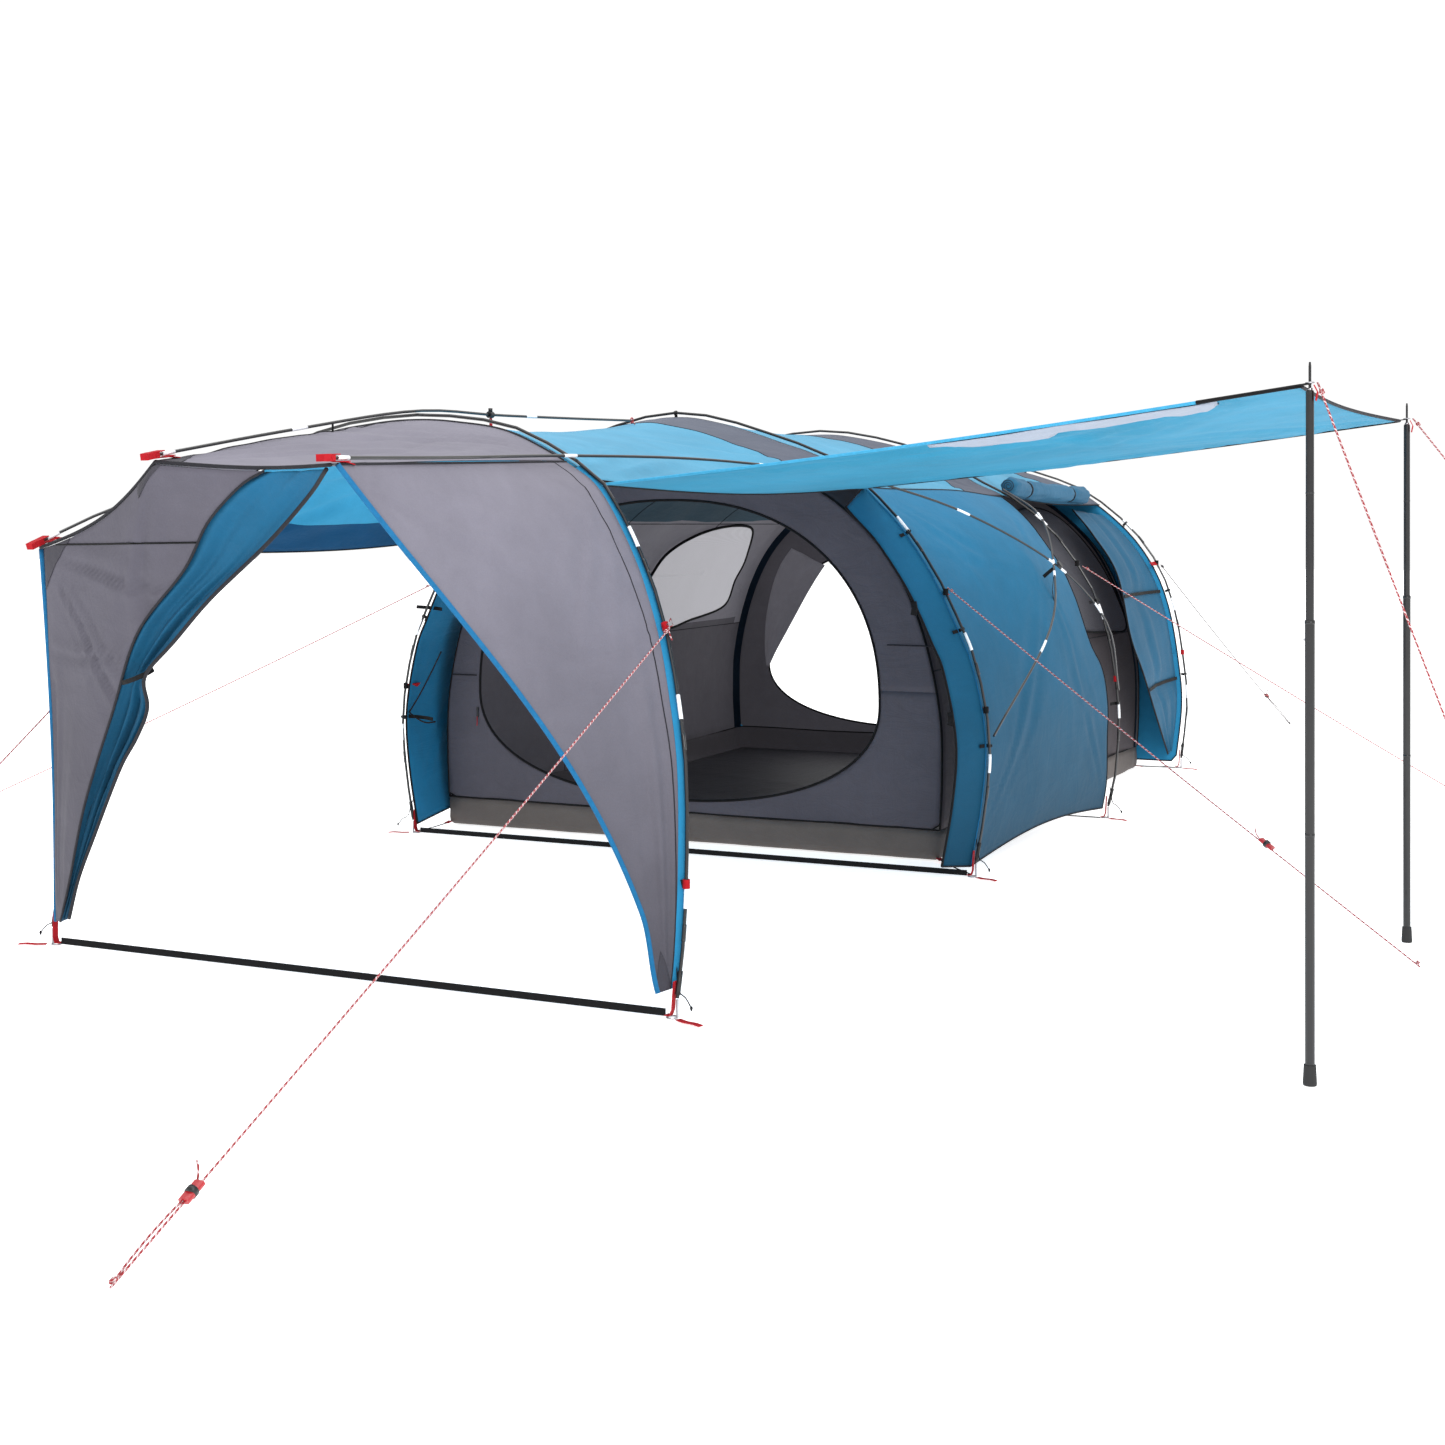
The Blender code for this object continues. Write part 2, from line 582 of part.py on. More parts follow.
def door_free(t):
    """The free edge of the gathered porch door."""
    pts = [hem(0.955) + Vector((0, 0, -0.012)), Vector((0.510, -0.860, 1.650)), Vector((0.310, -0.800, 1.530)),
           Vector((-0.100, -0.650, 1.250)), Vector((-0.270, -0.590, 1.135)), Vector((-0.345, -0.555, 1.070)),
           Vector((-0.440, -0.485, 0.930)), Vector((-0.715, -0.320, 0.620)), Vector((-0.910, -0.235, 0.450)),
           Vector((-1.150, -0.075, 0.130))]
    return catmull(pts, 64)[int(round(t * 64))]


rows = []
for i in range(NW + 1):
    t = i / NW
    z, e = zip_line(t), door_free(t)
    if i == 0:
        row = [hem(0.798 + (0.955 - 0.798) * j / 4) + Vector((0, 0.000, -0.010)) for j in range(5)]
    else:
        d = (e - z)
        z2 = z + d.normalized() * 0.012
        fold = 0.05 * math.sin(math.pi * t)
        row = [z2.lerp(e, j / 4) + Vector((0.02, -1, 0)) * (-fold * math.sin(math.pi * j / 4)) for j in range(5)]
    rows.append(row)
sheet("porch_door", rows, "cloth_blue")

# ------------------------------------------------------------------ awning
a0 = arch("a", uaR + 0.010, INSET, 0.045)
a1 = arch("b", ubR + 0.008, INSET, -0.014)
p1 = POLE_1 + Vector((-0.026, 0.006, CANOPY_Z))
p2 = POLE_2 + Vector((-0.026, -0.006, CANOPY_Z))
NA = 12
near = [a0.lerp(p1, i / NA) + Vector((0, 0.055, -0.010)) * math.sin(math.pi * i / NA) for i in range(NA + 1)]
far = [a1.lerp(p2, i / NA) + Vector((0, -0.10, -0.020)) * math.sin(math.pi * i / NA) for i in range(NA + 1)]
sheet("awning_canopy", lerp_rows(near, far, 6,
                                 lambda t, s: Vector((-0.05 * math.sin(math.pi * t) * s ** 3, 0,
                                                      -0.03 * math.sin(math.pi * t)))), "cloth_blue")

# ------------------------------------------------------------------ rear side curtains and rolled covers
CURTAIN = [(1.100, 6.28, 1.690), (1.290, 6.03, 1.530), (1.440, 6.02, 1.290), (1.560, 5.84, 0.920),
           (1.600, 6.00, 0.700), (1.615, 6.34, 0.400), (1.585, 6.88, 0.100)]


def curtain(name, sg, spread):
    """The rear side door, drawn back and tied beside the rear arch."""
    edge = catmull([Vector((sg * x, y, z)) for x, y, z in CURTAIN], 12)
    rows = []
    for p in edge:
        b = arch("d", sg * PROF["d"].u_at_z(min(p.z + 0.02, 1.700)), INSET + 0.035, -0.050)
        f = b.lerp(p, spread)
        rows.append([f.lerp(b, j / 4) for j in range(5)])
    return sheet(name, rows, "cloth_blue")


curtain("rear_curtain_right", 1, 1.0)
curtain("rear_curtain_left", -1, 0.25)
for side, sg in (("right", 1), ("left", -1)):
    c = arch("c", sg * (ucR - 0.010), -0.062, 0.085)
    d = arch("d", sg * (udR - 0.010), -0.062, -0.420)
    tube("rolled_cover_" + side, [c.lerp(d, i / 8) + Vector((0, 0, -0.012 * math.sin(math.pi * i / 8)))
                                  for i in range(9)], 0.055, "cloth_blue", res=3)

# ------------------------------------------------------------------ guy ropes and their tensioners
for name, top, end, slider in ROPES:
    top, end = Vector(top), Vector(end)
    tube(name, [top.lerp(end, i / 18) for i in range(19)], ROPE_R, "rope_red")
    if slider is not None:
        d = (end - top).normalized()
        at = top.lerp(end, slider)
        ob = plate("tensioner_" + name.replace("guy_rope_", ""),
                   [ellipse(0.015, 0.0075, 22, 0, 0.0, 3.0), ellipse(0.0034, 0.0034, 14)],
                   0.060, "plastic_red", along(d, at))

# ------------------------------------------------------------------ zip slider on the inner door
zx, zz = -1.302, 0.620
body = [(-0.006, 0.012), (0.006, 0.012), (0.006, -0.004), (0.0035, -0.008), (0.0045, -0.040),
        (-0.0045, -0.040), (-0.0035, -0.008), (-0.006, -0.004)]
plate("door_zip_slider", [body], 0.005, "plastic_black", upright(zx, Y_IN0 - 0.0062, zz))
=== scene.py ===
import math

import bmesh
import bpy
import numpy as np
from mathutils import Matrix, Vector, noise


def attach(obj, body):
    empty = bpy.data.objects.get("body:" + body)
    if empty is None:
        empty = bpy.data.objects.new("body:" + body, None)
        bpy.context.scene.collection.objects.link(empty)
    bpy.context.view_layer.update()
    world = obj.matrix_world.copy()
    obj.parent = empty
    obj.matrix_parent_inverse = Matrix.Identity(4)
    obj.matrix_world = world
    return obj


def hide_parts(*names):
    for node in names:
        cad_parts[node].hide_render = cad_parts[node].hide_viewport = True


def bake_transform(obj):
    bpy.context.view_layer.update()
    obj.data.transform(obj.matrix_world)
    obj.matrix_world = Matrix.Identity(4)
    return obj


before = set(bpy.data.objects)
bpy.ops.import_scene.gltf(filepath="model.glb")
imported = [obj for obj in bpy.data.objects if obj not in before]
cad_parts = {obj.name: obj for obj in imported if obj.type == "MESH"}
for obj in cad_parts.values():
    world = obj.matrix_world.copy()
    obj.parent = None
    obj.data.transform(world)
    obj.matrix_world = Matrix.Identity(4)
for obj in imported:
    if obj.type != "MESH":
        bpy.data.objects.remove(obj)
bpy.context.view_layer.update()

# ====================================================================== shared dimensions
# The tent's own coordinates (midway between the front arch's feet) plus SHIFT
# give the row frame.  Everything below is written in the tent's coordinates.
SHIFT = Vector((-0.8317, -3.0002, 0.0))
POLE_R, RIDGE_R, ROPE_R = 0.0065, 0.0055, 0.0030
INSET, GAP = 0.022, 0.004
Y_A, Y_B, Y_C, Y_D = 0.0, 2.757, 4.700, 6.980
LEAN_A = 0.25
HALF = {
    "a": [(0.0, 2.010), (0.19, 1.998), (0.43, 1.955), (0.70, 1.830), (0.85, 1.720), (1.02, 1.475),
          (1.13, 1.250), (1.205, 1.020), (1.262, 0.790), (1.300, 0.500), (1.318, 0.250), (1.316, 0.0)],
    "b": [(0.0, 2.140), (0.13, 2.130), (0.34, 2.080), (0.55, 2.010), (0.76, 1.935), (0.96, 1.805),
          (1.055, 1.710), (1.165, 1.595), (1.28, 1.435), (1.36, 1.299), (1.445, 1.118), (1.51, 0.961),
          (1.57, 0.640), (1.555, 0.350), (1.495, 0.0)],
    "c": [(0.0, 2.140), (0.18, 2.126), (0.487, 2.060), (0.75, 1.955), (0.957, 1.841), (1.10, 1.775),
          (1.322, 1.611), (1.467, 1.440), (1.56, 1.300), (1.625, 1.164), (1.687, 0.948), (1.725, 0.699),
          (1.736, 0.531), (1.714, 0.226), (1.660, 0.0)],
    "d": [(0.0, 2.050), (0.25, 2.035), (0.55, 1.985), (0.82, 1.905), (1.049, 1.800), (1.317, 1.580),
          (1.501, 1.330), (1.611, 1.036), (1.675, 0.644), (1.689, 0.400), (1.644, 0.0)],
    "i": [(0.0, 1.930), (0.25, 1.915), (0.54, 1.850), (0.785, 1.740), (1.00, 1.560), (1.16, 1.350),
          (1.285, 1.050), (1.36, 0.700), (1.37, 0.400), (1.36, 0.150)],
}
ARCH = {"a": (Y_A, LEAN_A), "b": (Y_B, 0.0), "c": (Y_C, 0.0), "d": (Y_D, 0.0)}
LABEL = {"a": "front", "b": "porch", "c": "middle", "d": "rear"}
POLE_1 = Vector((3.271, 0.110, 0.0))
POLE_2 = Vector((3.386, 2.163, 0.0))
CANOPY_Z = 1.995
TIP_MID = Vector((0.0, -0.930, 1.811))
TIP_RIGHT = Vector((0.70, -1.000, 1.790))
TIP_LEFT = Vector((-0.80, -0.580, 1.540))
ROPES = [
    ("guy_rope_front_right", (1.150, 0.305, 1.245), (1.159, -2.403, ROPE_R + 0.0005), 0.905),
    ("guy_rope_front_left", (-1.150, 0.305, 1.245), (-1.950, -0.520, ROPE_R + 0.0005), None),
    ("guy_rope_porch_left", (-1.390, 2.757, 1.290), (-4.150, 2.200, ROPE_R + 0.0005), None),
    ("guy_rope_middle_right", (1.372, 2.757, 1.310), (3.461, 1.736, ROPE_R + 0.0005), 0.725),
    ("guy_rope_rear_right", (1.535, 4.700, 1.370), (3.665, 5.390, ROPE_R + 0.0005), None),
    ("guy_rope_back_right", (1.520, 6.985, 1.330), (1.955, 9.998, ROPE_R + 0.0005), 0.79),
    ("guy_rope_awning_front", (3.292, 0.110, 2.004), (4.030, -0.020, ROPE_R + 0.0005), None),
    ("guy_rope_awning_rear", (3.407, 2.166, 2.004), (4.900, 2.450, ROPE_R + 0.0005), None),
]
HUB = Vector((1.600, 3.850, 1.383))
FOOT_Z = 0.066


# ====================================================================== curves
def catmull(pts, n):
    p = [Vector(q) for q in pts]
    p = [p[0] * 2 - p[1]] + p + [p[-1] * 2 - p[-2]]
    dense = []
    for i in range(1, len(p) - 2):
        for j in range(16):
            t = j / 16
            a, b, c, d = p[i - 1], p[i], p[i + 1], p[i + 2]
            dense.append(0.5 * ((2 * b) + (c - a) * t + (2 * a - 5 * b + 4 * c - d) * t * t
                                + (3 * b - a - 3 * c + d) * t ** 3))
    dense.append(p[-2].copy())
    return even(dense, n)


def even(dense, n):
    acc = [0.0]
    for a, b in zip(dense, dense[1:]):
        acc.append(acc[-1] + (b - a).length)
    out, k = [], 0
    for i in range(n + 1):
        s = acc[-1] * i / n
        while k < len(acc) - 2 and acc[k + 1] < s:
            k += 1
        f = (s - acc[k]) / max(acc[k + 1] - acc[k], 1e-9)
        out.append(dense[k].lerp(dense[k + 1], min(max(f, 0.0), 1.0)))
    return out


class Path:
    """A smooth curve through points, read at a fraction of its length."""

    def __init__(self, pts, n=200, smooth=True):
        self.p = catmull(pts, n) if smooth and len(pts) > 2 else even([Vector(q) for q in pts], n)
        self.n = n

    def at(self, t):
        s = min(max(t, 0.0), 1.0) * self.n
        i = min(int(s), self.n - 1)
        return self.p[i].lerp(self.p[i + 1], s - i)

    def dir(self, t):
        return (self.at(min(t + 0.01, 1)) - self.at(max(t - 0.01, 0))).normalized()

    @property
    def length(self):
        return sum((b - a).length for a, b in zip(self.p, self.p[1:]))


class Profile:
    def __init__(self, table):
        pts = [Vector((x, 0, z)) for x, z in table]
        mirrored = [Vector((-table[1][0], 0, table[1][1]))] + pts
        full = catmull(mirrored, 240)
        start = next(i for i, q in enumerate(full) if q.x >= 0)
        self.p = even([Vector((0, 0, table[0][1]))] + full[start:], 120)

    def at(self, u, inset=0.0):
        s = min(abs(u), 1.0) * 120
        i = min(int(s), 119)
        q = self.p[i].lerp(self.p[i + 1], s - i)
        lo, hi = self.p[max(i - 1, 0)], self.p[min(i + 2, 120)]
        t = (hi - lo).normalized()
        if abs(u) < 1e-6:
            t = Vector((1, 0, 0))
        n = Vector((-t.z, 0, t.x))
        if n.z < 0 and n.x < 0:
            n = -n
        q = q - n * inset
        x = max(q.x, 0.0)
        return (math.copysign(x, u) if u else 0.0), q.z

    def u_at_z(self, z):
        lo, hi = 0.0, 1.0
        for _ in range(40):
            mid = (lo + hi) / 2
            if self.at(mid)[1] > z:
                lo = mid
            else:
                hi = mid
        return (lo + hi) / 2


PROF = {k: Profile(t) for k, t in HALF.items()}


def arch(k, u, inset=0.0, dy=0.0):
    x, z = PROF[k].at(u, inset)
    y, lean = ARCH[k]
    return Vector((x, y + lean * z + dy, z))


def outside(k, u, d, dy=0.0):
    return arch(k, u, -d, dy)


def uz(k, z):
    return PROF[k].u_at_z(z)


def sm(t, a=0.0, b=1.0):
    t = min(max((t - a) / (b - a), 0.0), 1.0)
    return t * t * (3 - 2 * t)


def bump(t, c, w):
    return math.exp(-((t - c) / w) ** 2)


# ====================================================================== materials
def nodes_of(name):
    m = bpy.data.materials.new(name)
    m.use_nodes = True
    nt = m.node_tree
    return m, nt, nt.nodes["Principled BSDF"]


def lin(r, g, b):
    def f(c):
        c /= 255.0
        return c / 12.92 if c <= 0.04045 else ((c + 0.055) / 1.055) ** 2.4
    return (f(r), f(g), f(b))


def mix_rgb(nt, fac, a, b, blend="MIX"):
    n = nt.nodes.new("ShaderNodeMix")
    n.data_type = "RGBA"
    n.blend_type = blend
    if isinstance(fac, (int, float)):
        n.inputs[0].default_value = fac
    else:
        nt.links.new(fac, n.inputs[0])
    for sock, v in ((n.inputs[6], a), (n.inputs[7], b)):
        if isinstance(v, tuple):
            sock.default_value = (*v[:3], 1.0)
        else:
            nt.links.new(v, sock)
    return n.outputs[2]


def ramp(nt, src, stops):
    n = nt.nodes.new("ShaderNodeValToRGB")
    el = n.color_ramp.elements
    while len(el) > 2:
        el.remove(el[-1])
    for i, (pos, val) in enumerate(stops):
        e = el[i] if i < 2 else el.new(pos)
        e.position = pos
        c = val if isinstance(val, tuple) else (val, val, val)
        e.color = (*c[:3], 1.0)
    nt.links.new(src, n.inputs[0])
    return n.outputs[0]


def mathn(nt, op, a, b=None, c=None):
    n = nt.nodes.new("ShaderNodeMath")
    n.operation = op
    for i, v in enumerate((a, b, c)):
        if v is None:
            continue
        if isinstance(v, (int, float)):
            n.inputs[i].default_value = v
        else:
            nt.links.new(v, n.inputs[i])
    return n.outputs[0]


def coords(nt, scale=(1, 1, 1), rot=(0, 0, 0), kind="Object"):
    tc = nt.nodes.new("ShaderNodeTexCoord")
    mp = nt.nodes.new("ShaderNodeMapping")
    mp.inputs["Scale"].default_value = scale
    mp.inputs["Rotation"].default_value = rot
    nt.links.new(tc.outputs[kind], mp.inputs["Vector"])
    return mp.outputs["Vector"]


def noise_tex(nt, vec, scale, detail=3.0, rough=0.5, dist=0.0):
    n = nt.nodes.new("ShaderNodeTexNoise")
    n.inputs["Scale"].default_value = scale
    n.inputs["Detail"].default_value = detail
    n.inputs["Roughness"].default_value = rough
    n.inputs["Distortion"].default_value = dist
    nt.links.new(vec, n.inputs["Vector"])
    return n.outputs[0]


def wave_tex(nt, vec, scale, direction="X", dist=0.0):
    n = nt.nodes.new("ShaderNodeTexWave")
    n.wave_type = "BANDS"
    n.bands_direction = direction
    n.inputs["Scale"].default_value = scale
    n.inputs["Distortion"].default_value = dist
    nt.links.new(vec, n.inputs["Vector"])
    return n.outputs["Fac"] if "Fac" in n.outputs else n.outputs[1]


def cloth(name, colour, rough=0.66, sheen=0.03, vary=0.09, weave=1.0, crease=0.5, painted_glow=0.0, painted_shade_grad=None, lift=None):
    """Coated tent polyester: fine weave, soft creases, slight fading and a little sheen.
    The gradient argument, (z low, z high, darkest factor), paints shade onto the cloth, darker towards the ground."""
    m, nt, b = nodes_of(name)
    vec = coords(nt)
    big = noise_tex(nt, vec, 1.7, 3, 0.55)
    mid = noise_tex(nt, vec, 9.0, 4, 0.6, 0.6)
    fine = noise_tex(nt, vec, 220.0, 2, 0.6)
    lo = tuple(c * (1 - vary) for c in colour)
    hi = tuple(min(c * (1 + vary), 1.0) for c in colour)
    col = mix_rgb(nt, ramp(nt, big, [(0.30, 0.0), (0.70, 1.0)]), lo, hi)
    col = mix_rgb(nt, 0.10, col, ramp(nt, mid, [(0.3, 0.35), (0.7, 0.75)]), "OVERLAY")
    col = mix_rgb(nt, 0.07, col, ramp(nt, fine, [(0.3, 0.2), (0.7, 0.8)]), "OVERLAY")
    # painted shade: the colour is multiplied darker towards the ground
    if painted_shade_grad:
        g = nt.nodes.new("ShaderNodeSeparateXYZ")
        nt.links.new(vec, g.inputs[0])
        z = g.outputs[2]
        f = mathn(nt, "DIVIDE", mathn(nt, "SUBTRACT", z, painted_shade_grad[0]), max(painted_shade_grad[1] - painted_shade_grad[0], 1e-3))
        cl = ramp(nt, f, [(0.0, painted_shade_grad[2]), (1.0, 1.0)])
        col = mix_rgb(nt, 1.0, col, cl, "MULTIPLY")
    nt.links.new(col, b.inputs["Base Color"])
    b.inputs["Roughness"].default_value = rough
    b.inputs["Specular IOR Level"].default_value = 0.10
    b.inputs["Sheen Weight"].default_value = sheen
    b.inputs["Sheen Roughness"].default_value = 0.45
    # painted light: the cloth glows with its own colour, brightening faces that lie in shade
    if painted_glow:
        nt.links.new(col, b.inputs["Emission Color"])
        b.inputs["Emission Strength"].default_value = painted_glow
    # weave: two crossed thread directions at a visible pitch, and soft hand creases
    wx = wave_tex(nt, coords(nt, rot=(0, 0.6, 0.3)), 120.0 * weave, "X", 0.3)
    wy = wave_tex(nt, coords(nt, rot=(0.5, 0, 0.2)), 120.0 * weave, "Z", 0.3)
    w = mathn(nt, "MULTIPLY", mathn(nt, "ADD", wx, wy), 0.5)
    cr1 = noise_tex(nt, coords(nt, scale=(1.0, 0.45, 2.4)), 3.4, 5, 0.6, 1.2)
    cr2 = noise_tex(nt, coords(nt, scale=(2.2, 1.3, 0.6), rot=(0.3, 0.4, 0.2)), 7.0, 4, 0.6, 1.0)
    h = mathn(nt, "ADD", mathn(nt, "MULTIPLY", cr1, 1.0), mathn(nt, "MULTIPLY", cr2, 0.45))
    bp = nt.nodes.new("ShaderNodeBump")
    bp.inputs["Strength"].default_value = 0.45 * crease
    bp.inputs["Distance"].default_value = 0.05
    nt.links.new(h, bp.inputs["Height"])
    bp2 = nt.nodes.new("ShaderNodeBump")
    bp2.inputs["Strength"].default_value = 0.10
    bp2.inputs["Distance"].default_value = 0.0006
    nt.links.new(w, bp2.inputs["Height"])
    nt.links.new(bp.outputs[0], bp2.inputs["Normal"])
    nt.links.new(bp2.outputs[0], b.inputs["Normal"])
    return m


def plain(name, colour, rough=0.5, metal=0.0, grain=0.04, bump_s=0.15, scale=90.0, coat=0.0):
    """Moulded plastic, rubber or coated metal with a fine surface grain and slight wear."""
    m, nt, b = nodes_of(name)
    vec = coords(nt)
    n1 = noise_tex(nt, vec, scale, 3, 0.6)
    n2 = noise_tex(nt, vec, scale * 0.12, 3, 0.6)
    lo = tuple(c * (1 - grain * 3) for c in colour)
    hi = tuple(min(c * (1 + grain * 3) + grain * 0.05, 1) for c in colour)
    nt.links.new(mix_rgb(nt, n2, lo, hi), b.inputs["Base Color"])
    nt.links.new(mathn(nt, "MULTIPLY_ADD", n2, 0.12, rough - 0.06), b.inputs["Roughness"])
    b.inputs["Metallic"].default_value = metal
    b.inputs["Coat Weight"].default_value = coat
    bp = nt.nodes.new("ShaderNodeBump")
    bp.inputs["Strength"].default_value = bump_s
    bp.inputs["Distance"].default_value = 0.0008
    nt.links.new(n1, bp.inputs["Height"])
    nt.links.new(bp.outputs[0], b.inputs["Normal"])
    return m


def webbing(name, colour, rough=0.8):
    m, nt, b = nodes_of(name)
    vec = coords(nt)
    n = noise_tex(nt, vec, 60, 2, 0.6)
    lo = tuple(c * 0.8 for c in colour)
    hi = tuple(min(c * 1.25 + 0.003, 1) for c in colour)
    nt.links.new(mix_rgb(nt, n, lo, hi), b.inputs["Base Color"])
    b.inputs["Roughness"].default_value = rough
    b.inputs["Specular IOR Level"].default_value = 0.15
    b.inputs["Sheen Weight"].default_value = 0.02
    w1 = wave_tex(nt, vec, 160.0, "X", 0.2)
    w2 = wave_tex(nt, vec, 160.0, "Y", 0.2)
    w = mathn(nt, "MULTIPLY", w1, w2)
    bp = nt.nodes.new("ShaderNodeBump")
    bp.inputs["Strength"].default_value = 0.5
    bp.inputs["Distance"].default_value = 0.0008
    nt.links.new(w, bp.inputs["Height"])
    nt.links.new(bp.outputs[0], b.inputs["Normal"])
    return m


# ====================================================================== colours and materials
GREY = lin(150, 147, 160)
BLUE = lin(42, 118, 158)
BLUE_LIGHT = lin(88, 172, 208)
# painted light: the blue-green tint that light through the blue fly casts on the grey inner tent
PAINTED_FLY_LIGHT_IN = lin(58, 84, 98)
M = {}
# the grey, the left wing's grey, the blue and the door's blue are painted darker towards the ground: painted shade
M["grey"] = cloth("fabric_grey", lin(112, 110, 121), crease=0.28, painted_shade_grad=(0.1, 1.5, 0.36))
# painted shade: a darker copy of the grey, with its own darkening towards the ground, for the left wing which lies in
# shadow
M["grey_left"] = cloth("fabric_grey_painted_shade", lin(86, 84, 94), crease=0.28, painted_shade_grad=(0.1, 1.6, 0.72))
M["grey_in"] = cloth("fabric_grey_inside", lin(104, 102, 112), crease=0.35)
M["grey_strip"] = cloth("fabric_grey_sleeve", lin(80, 85, 98), crease=0.35)
M["grey_dark"] = cloth("fabric_grey_reinforcement", lin(60, 59, 66), crease=0.3)
M["blue"] = cloth("fabric_blue", lin(30, 104, 141), crease=0.26, painted_shade_grad=(0.1, 1.8, 0.34))
M["blue_curtain"] = cloth("fabric_blue_curtain", lin(24, 82, 112), crease=0.3)
M["blue_roll"] = cloth("fabric_blue_roll", lin(42, 94, 124), crease=0.5)
# painted light: the groundsheet wall's inside glows to lift it out of shade
M["tub_in"] = cloth("groundsheet_wall_inside", lin(62, 60, 64), crease=0.3, painted_glow=0.35)
# the inside faces are the cloth's own colour made lighter by painted light shining through the cloth
M["blue_in"] = cloth("fabric_blue_inside", lin(36, 120, 162), crease=0.30)
M["blue_door"] = cloth("fabric_blue_door", lin(20, 86, 120), crease=0.30, painted_shade_grad=(0.2, 1.75, 0.42))
M["blue_dark"] = cloth("fabric_blue_hem", lin(14, 70, 108), crease=0.3)
M["sky"] = cloth("fabric_light_blue", lin(76, 140, 170), crease=0.22)
# painted light: the light-blue roof's inside is lighter and glows, for light shining through it
M["sky_in"] = cloth("fabric_light_blue_inside", lin(54, 142, 180), crease=0.22, painted_glow=0.12)
# the awning's underside is its own blue, with a glow of painted light from below
M["awning"] = cloth("fabric_awning_underside", lin(34, 122, 154), crease=0.28, painted_glow=0.05)
# painted light: the inner tent's glowing cloths brighten the shaded interior
M["inner"] = cloth("fabric_inner_dark", lin(84, 82, 88), rough=0.75, sheen=0.06, crease=0.4, painted_glow=0.30)
M["inner_front"] = cloth("fabric_inner_front", lin(80, 78, 86), rough=0.75, sheen=0.06, crease=0.4)
# painted light: the grey inner cloth tinted blue-green by light through the fly, with a glow
M["inner_painted_fly_light"] = cloth("fabric_inner_painted_fly_light", lin(52, 76, 90), rough=0.75, sheen=0.06, crease=0.4, painted_glow=0.2)
M["inner_light"] = cloth("fabric_inner_light", lin(128, 126, 134), rough=0.75, sheen=0.06, crease=0.4, painted_glow=0.25)
M["inner_side"] = cloth("fabric_inner_side", lin(56, 51, 54), rough=0.75, sheen=0.06, crease=0.3, painted_glow=0.30)
M["tub"] = cloth("groundsheet_band", lin(94, 88, 85), rough=0.6, crease=0.25)
# painted light: the inside floor glows faintly
M["floor_in"] = cloth("groundsheet_inside", lin(66, 65, 70), rough=0.55, crease=0.5, painted_glow=0.04)
M["piping"] = webbing("black_binding", lin(14, 14, 16))
M["bind_sky"] = webbing("light_blue_binding", lin(60, 150, 190))
M["awning_grey"] = cloth("fabric_awning_hem", lin(148, 156, 170), crease=0.35)
M["corner_band"] = cloth("fabric_corner_band", lin(30, 46, 62), rough=0.75, crease=0.3)
M["bind_blue"] = webbing("blue_binding", lin(22, 96, 140))
M["bind_grey"] = webbing("grey_binding", lin(36, 36, 41))
M["web_black"] = webbing("black_webbing", lin(14, 14, 16))
M["web_red"] = webbing("red_webbing", lin(158, 12, 24))
M["pole"] = plain("black_fibreglass", lin(15, 15, 17), 0.38, 0.0, 0.05, 0.10, 140, 0.3)
M["steel_black"] = plain("black_steel", lin(20, 20, 22), 0.38, 0.35, 0.05, 0.12, 160, 0.3)
M["steel"] = plain("zinc_steel", lin(168, 168, 172), 0.28, 1.0, 0.05, 0.20, 120)
M["rubber"] = plain("black_rubber", lin(20, 20, 21), 0.72, 0.0, 0.06, 0.35, 180)
M["plastic"] = plain("black_plastic", lin(16, 16, 18), 0.42, 0.0, 0.04, 0.20, 160)
M["red"] = plain("red_plastic", lin(160, 14, 26), 0.38, 0.0, 0.04, 0.15, 160, 0.2)
M["sticker"] = plain("white_tape", lin(236, 238, 242), 0.35, 0.0, 0.01, 0.05, 200)
M["cord_black"] = webbing("black_cord", lin(20, 20, 22))


def net(name, colour, alpha):
    """Insect mesh: a fine open net, partly see-through."""
    m, nt, b = nodes_of(name)
    vec = coords(nt)
    w1 = wave_tex(nt, coords(nt, rot=(0, 0.78, 0)), 260, "Z", 0.2)
    w2 = wave_tex(nt, coords(nt, rot=(0.78, 0, 0)), 260, "Z", 0.2)
    w = mathn(nt, "MAXIMUM", w1, w2)
    n = noise_tex(nt, vec, 3.0, 3, 0.6)
    base = mix_rgb(nt, n, tuple(c * 0.85 for c in colour), tuple(min(c * 1.15, 1) for c in colour))
    nt.links.new(mix_rgb(nt, ramp(nt, w, [(0.35, 0.0), (0.75, 1.0)]), tuple(c * 0.8 for c in colour), base),
                 b.inputs["Base Color"])
    b.inputs["Roughness"].default_value = 0.85
    b.inputs["Alpha"].default_value = alpha
    bp = nt.nodes.new("ShaderNodeBump")
    bp.inputs["Strength"].default_value = 0.3
    bp.inputs["Distance"].default_value = 0.001
    nt.links.new(w, bp.inputs["Height"])
    nt.links.new(bp.outputs[0], b.inputs["Normal"])
    return m


# painted light: the pale net stands for the mesh lit from behind
M["net_dark"] = net("insect_mesh_dark", lin(70, 70, 76), 0.90)
M["net_painted_lit"] = net("insect_mesh_painted_lit", lin(150, 150, 156), 0.92)
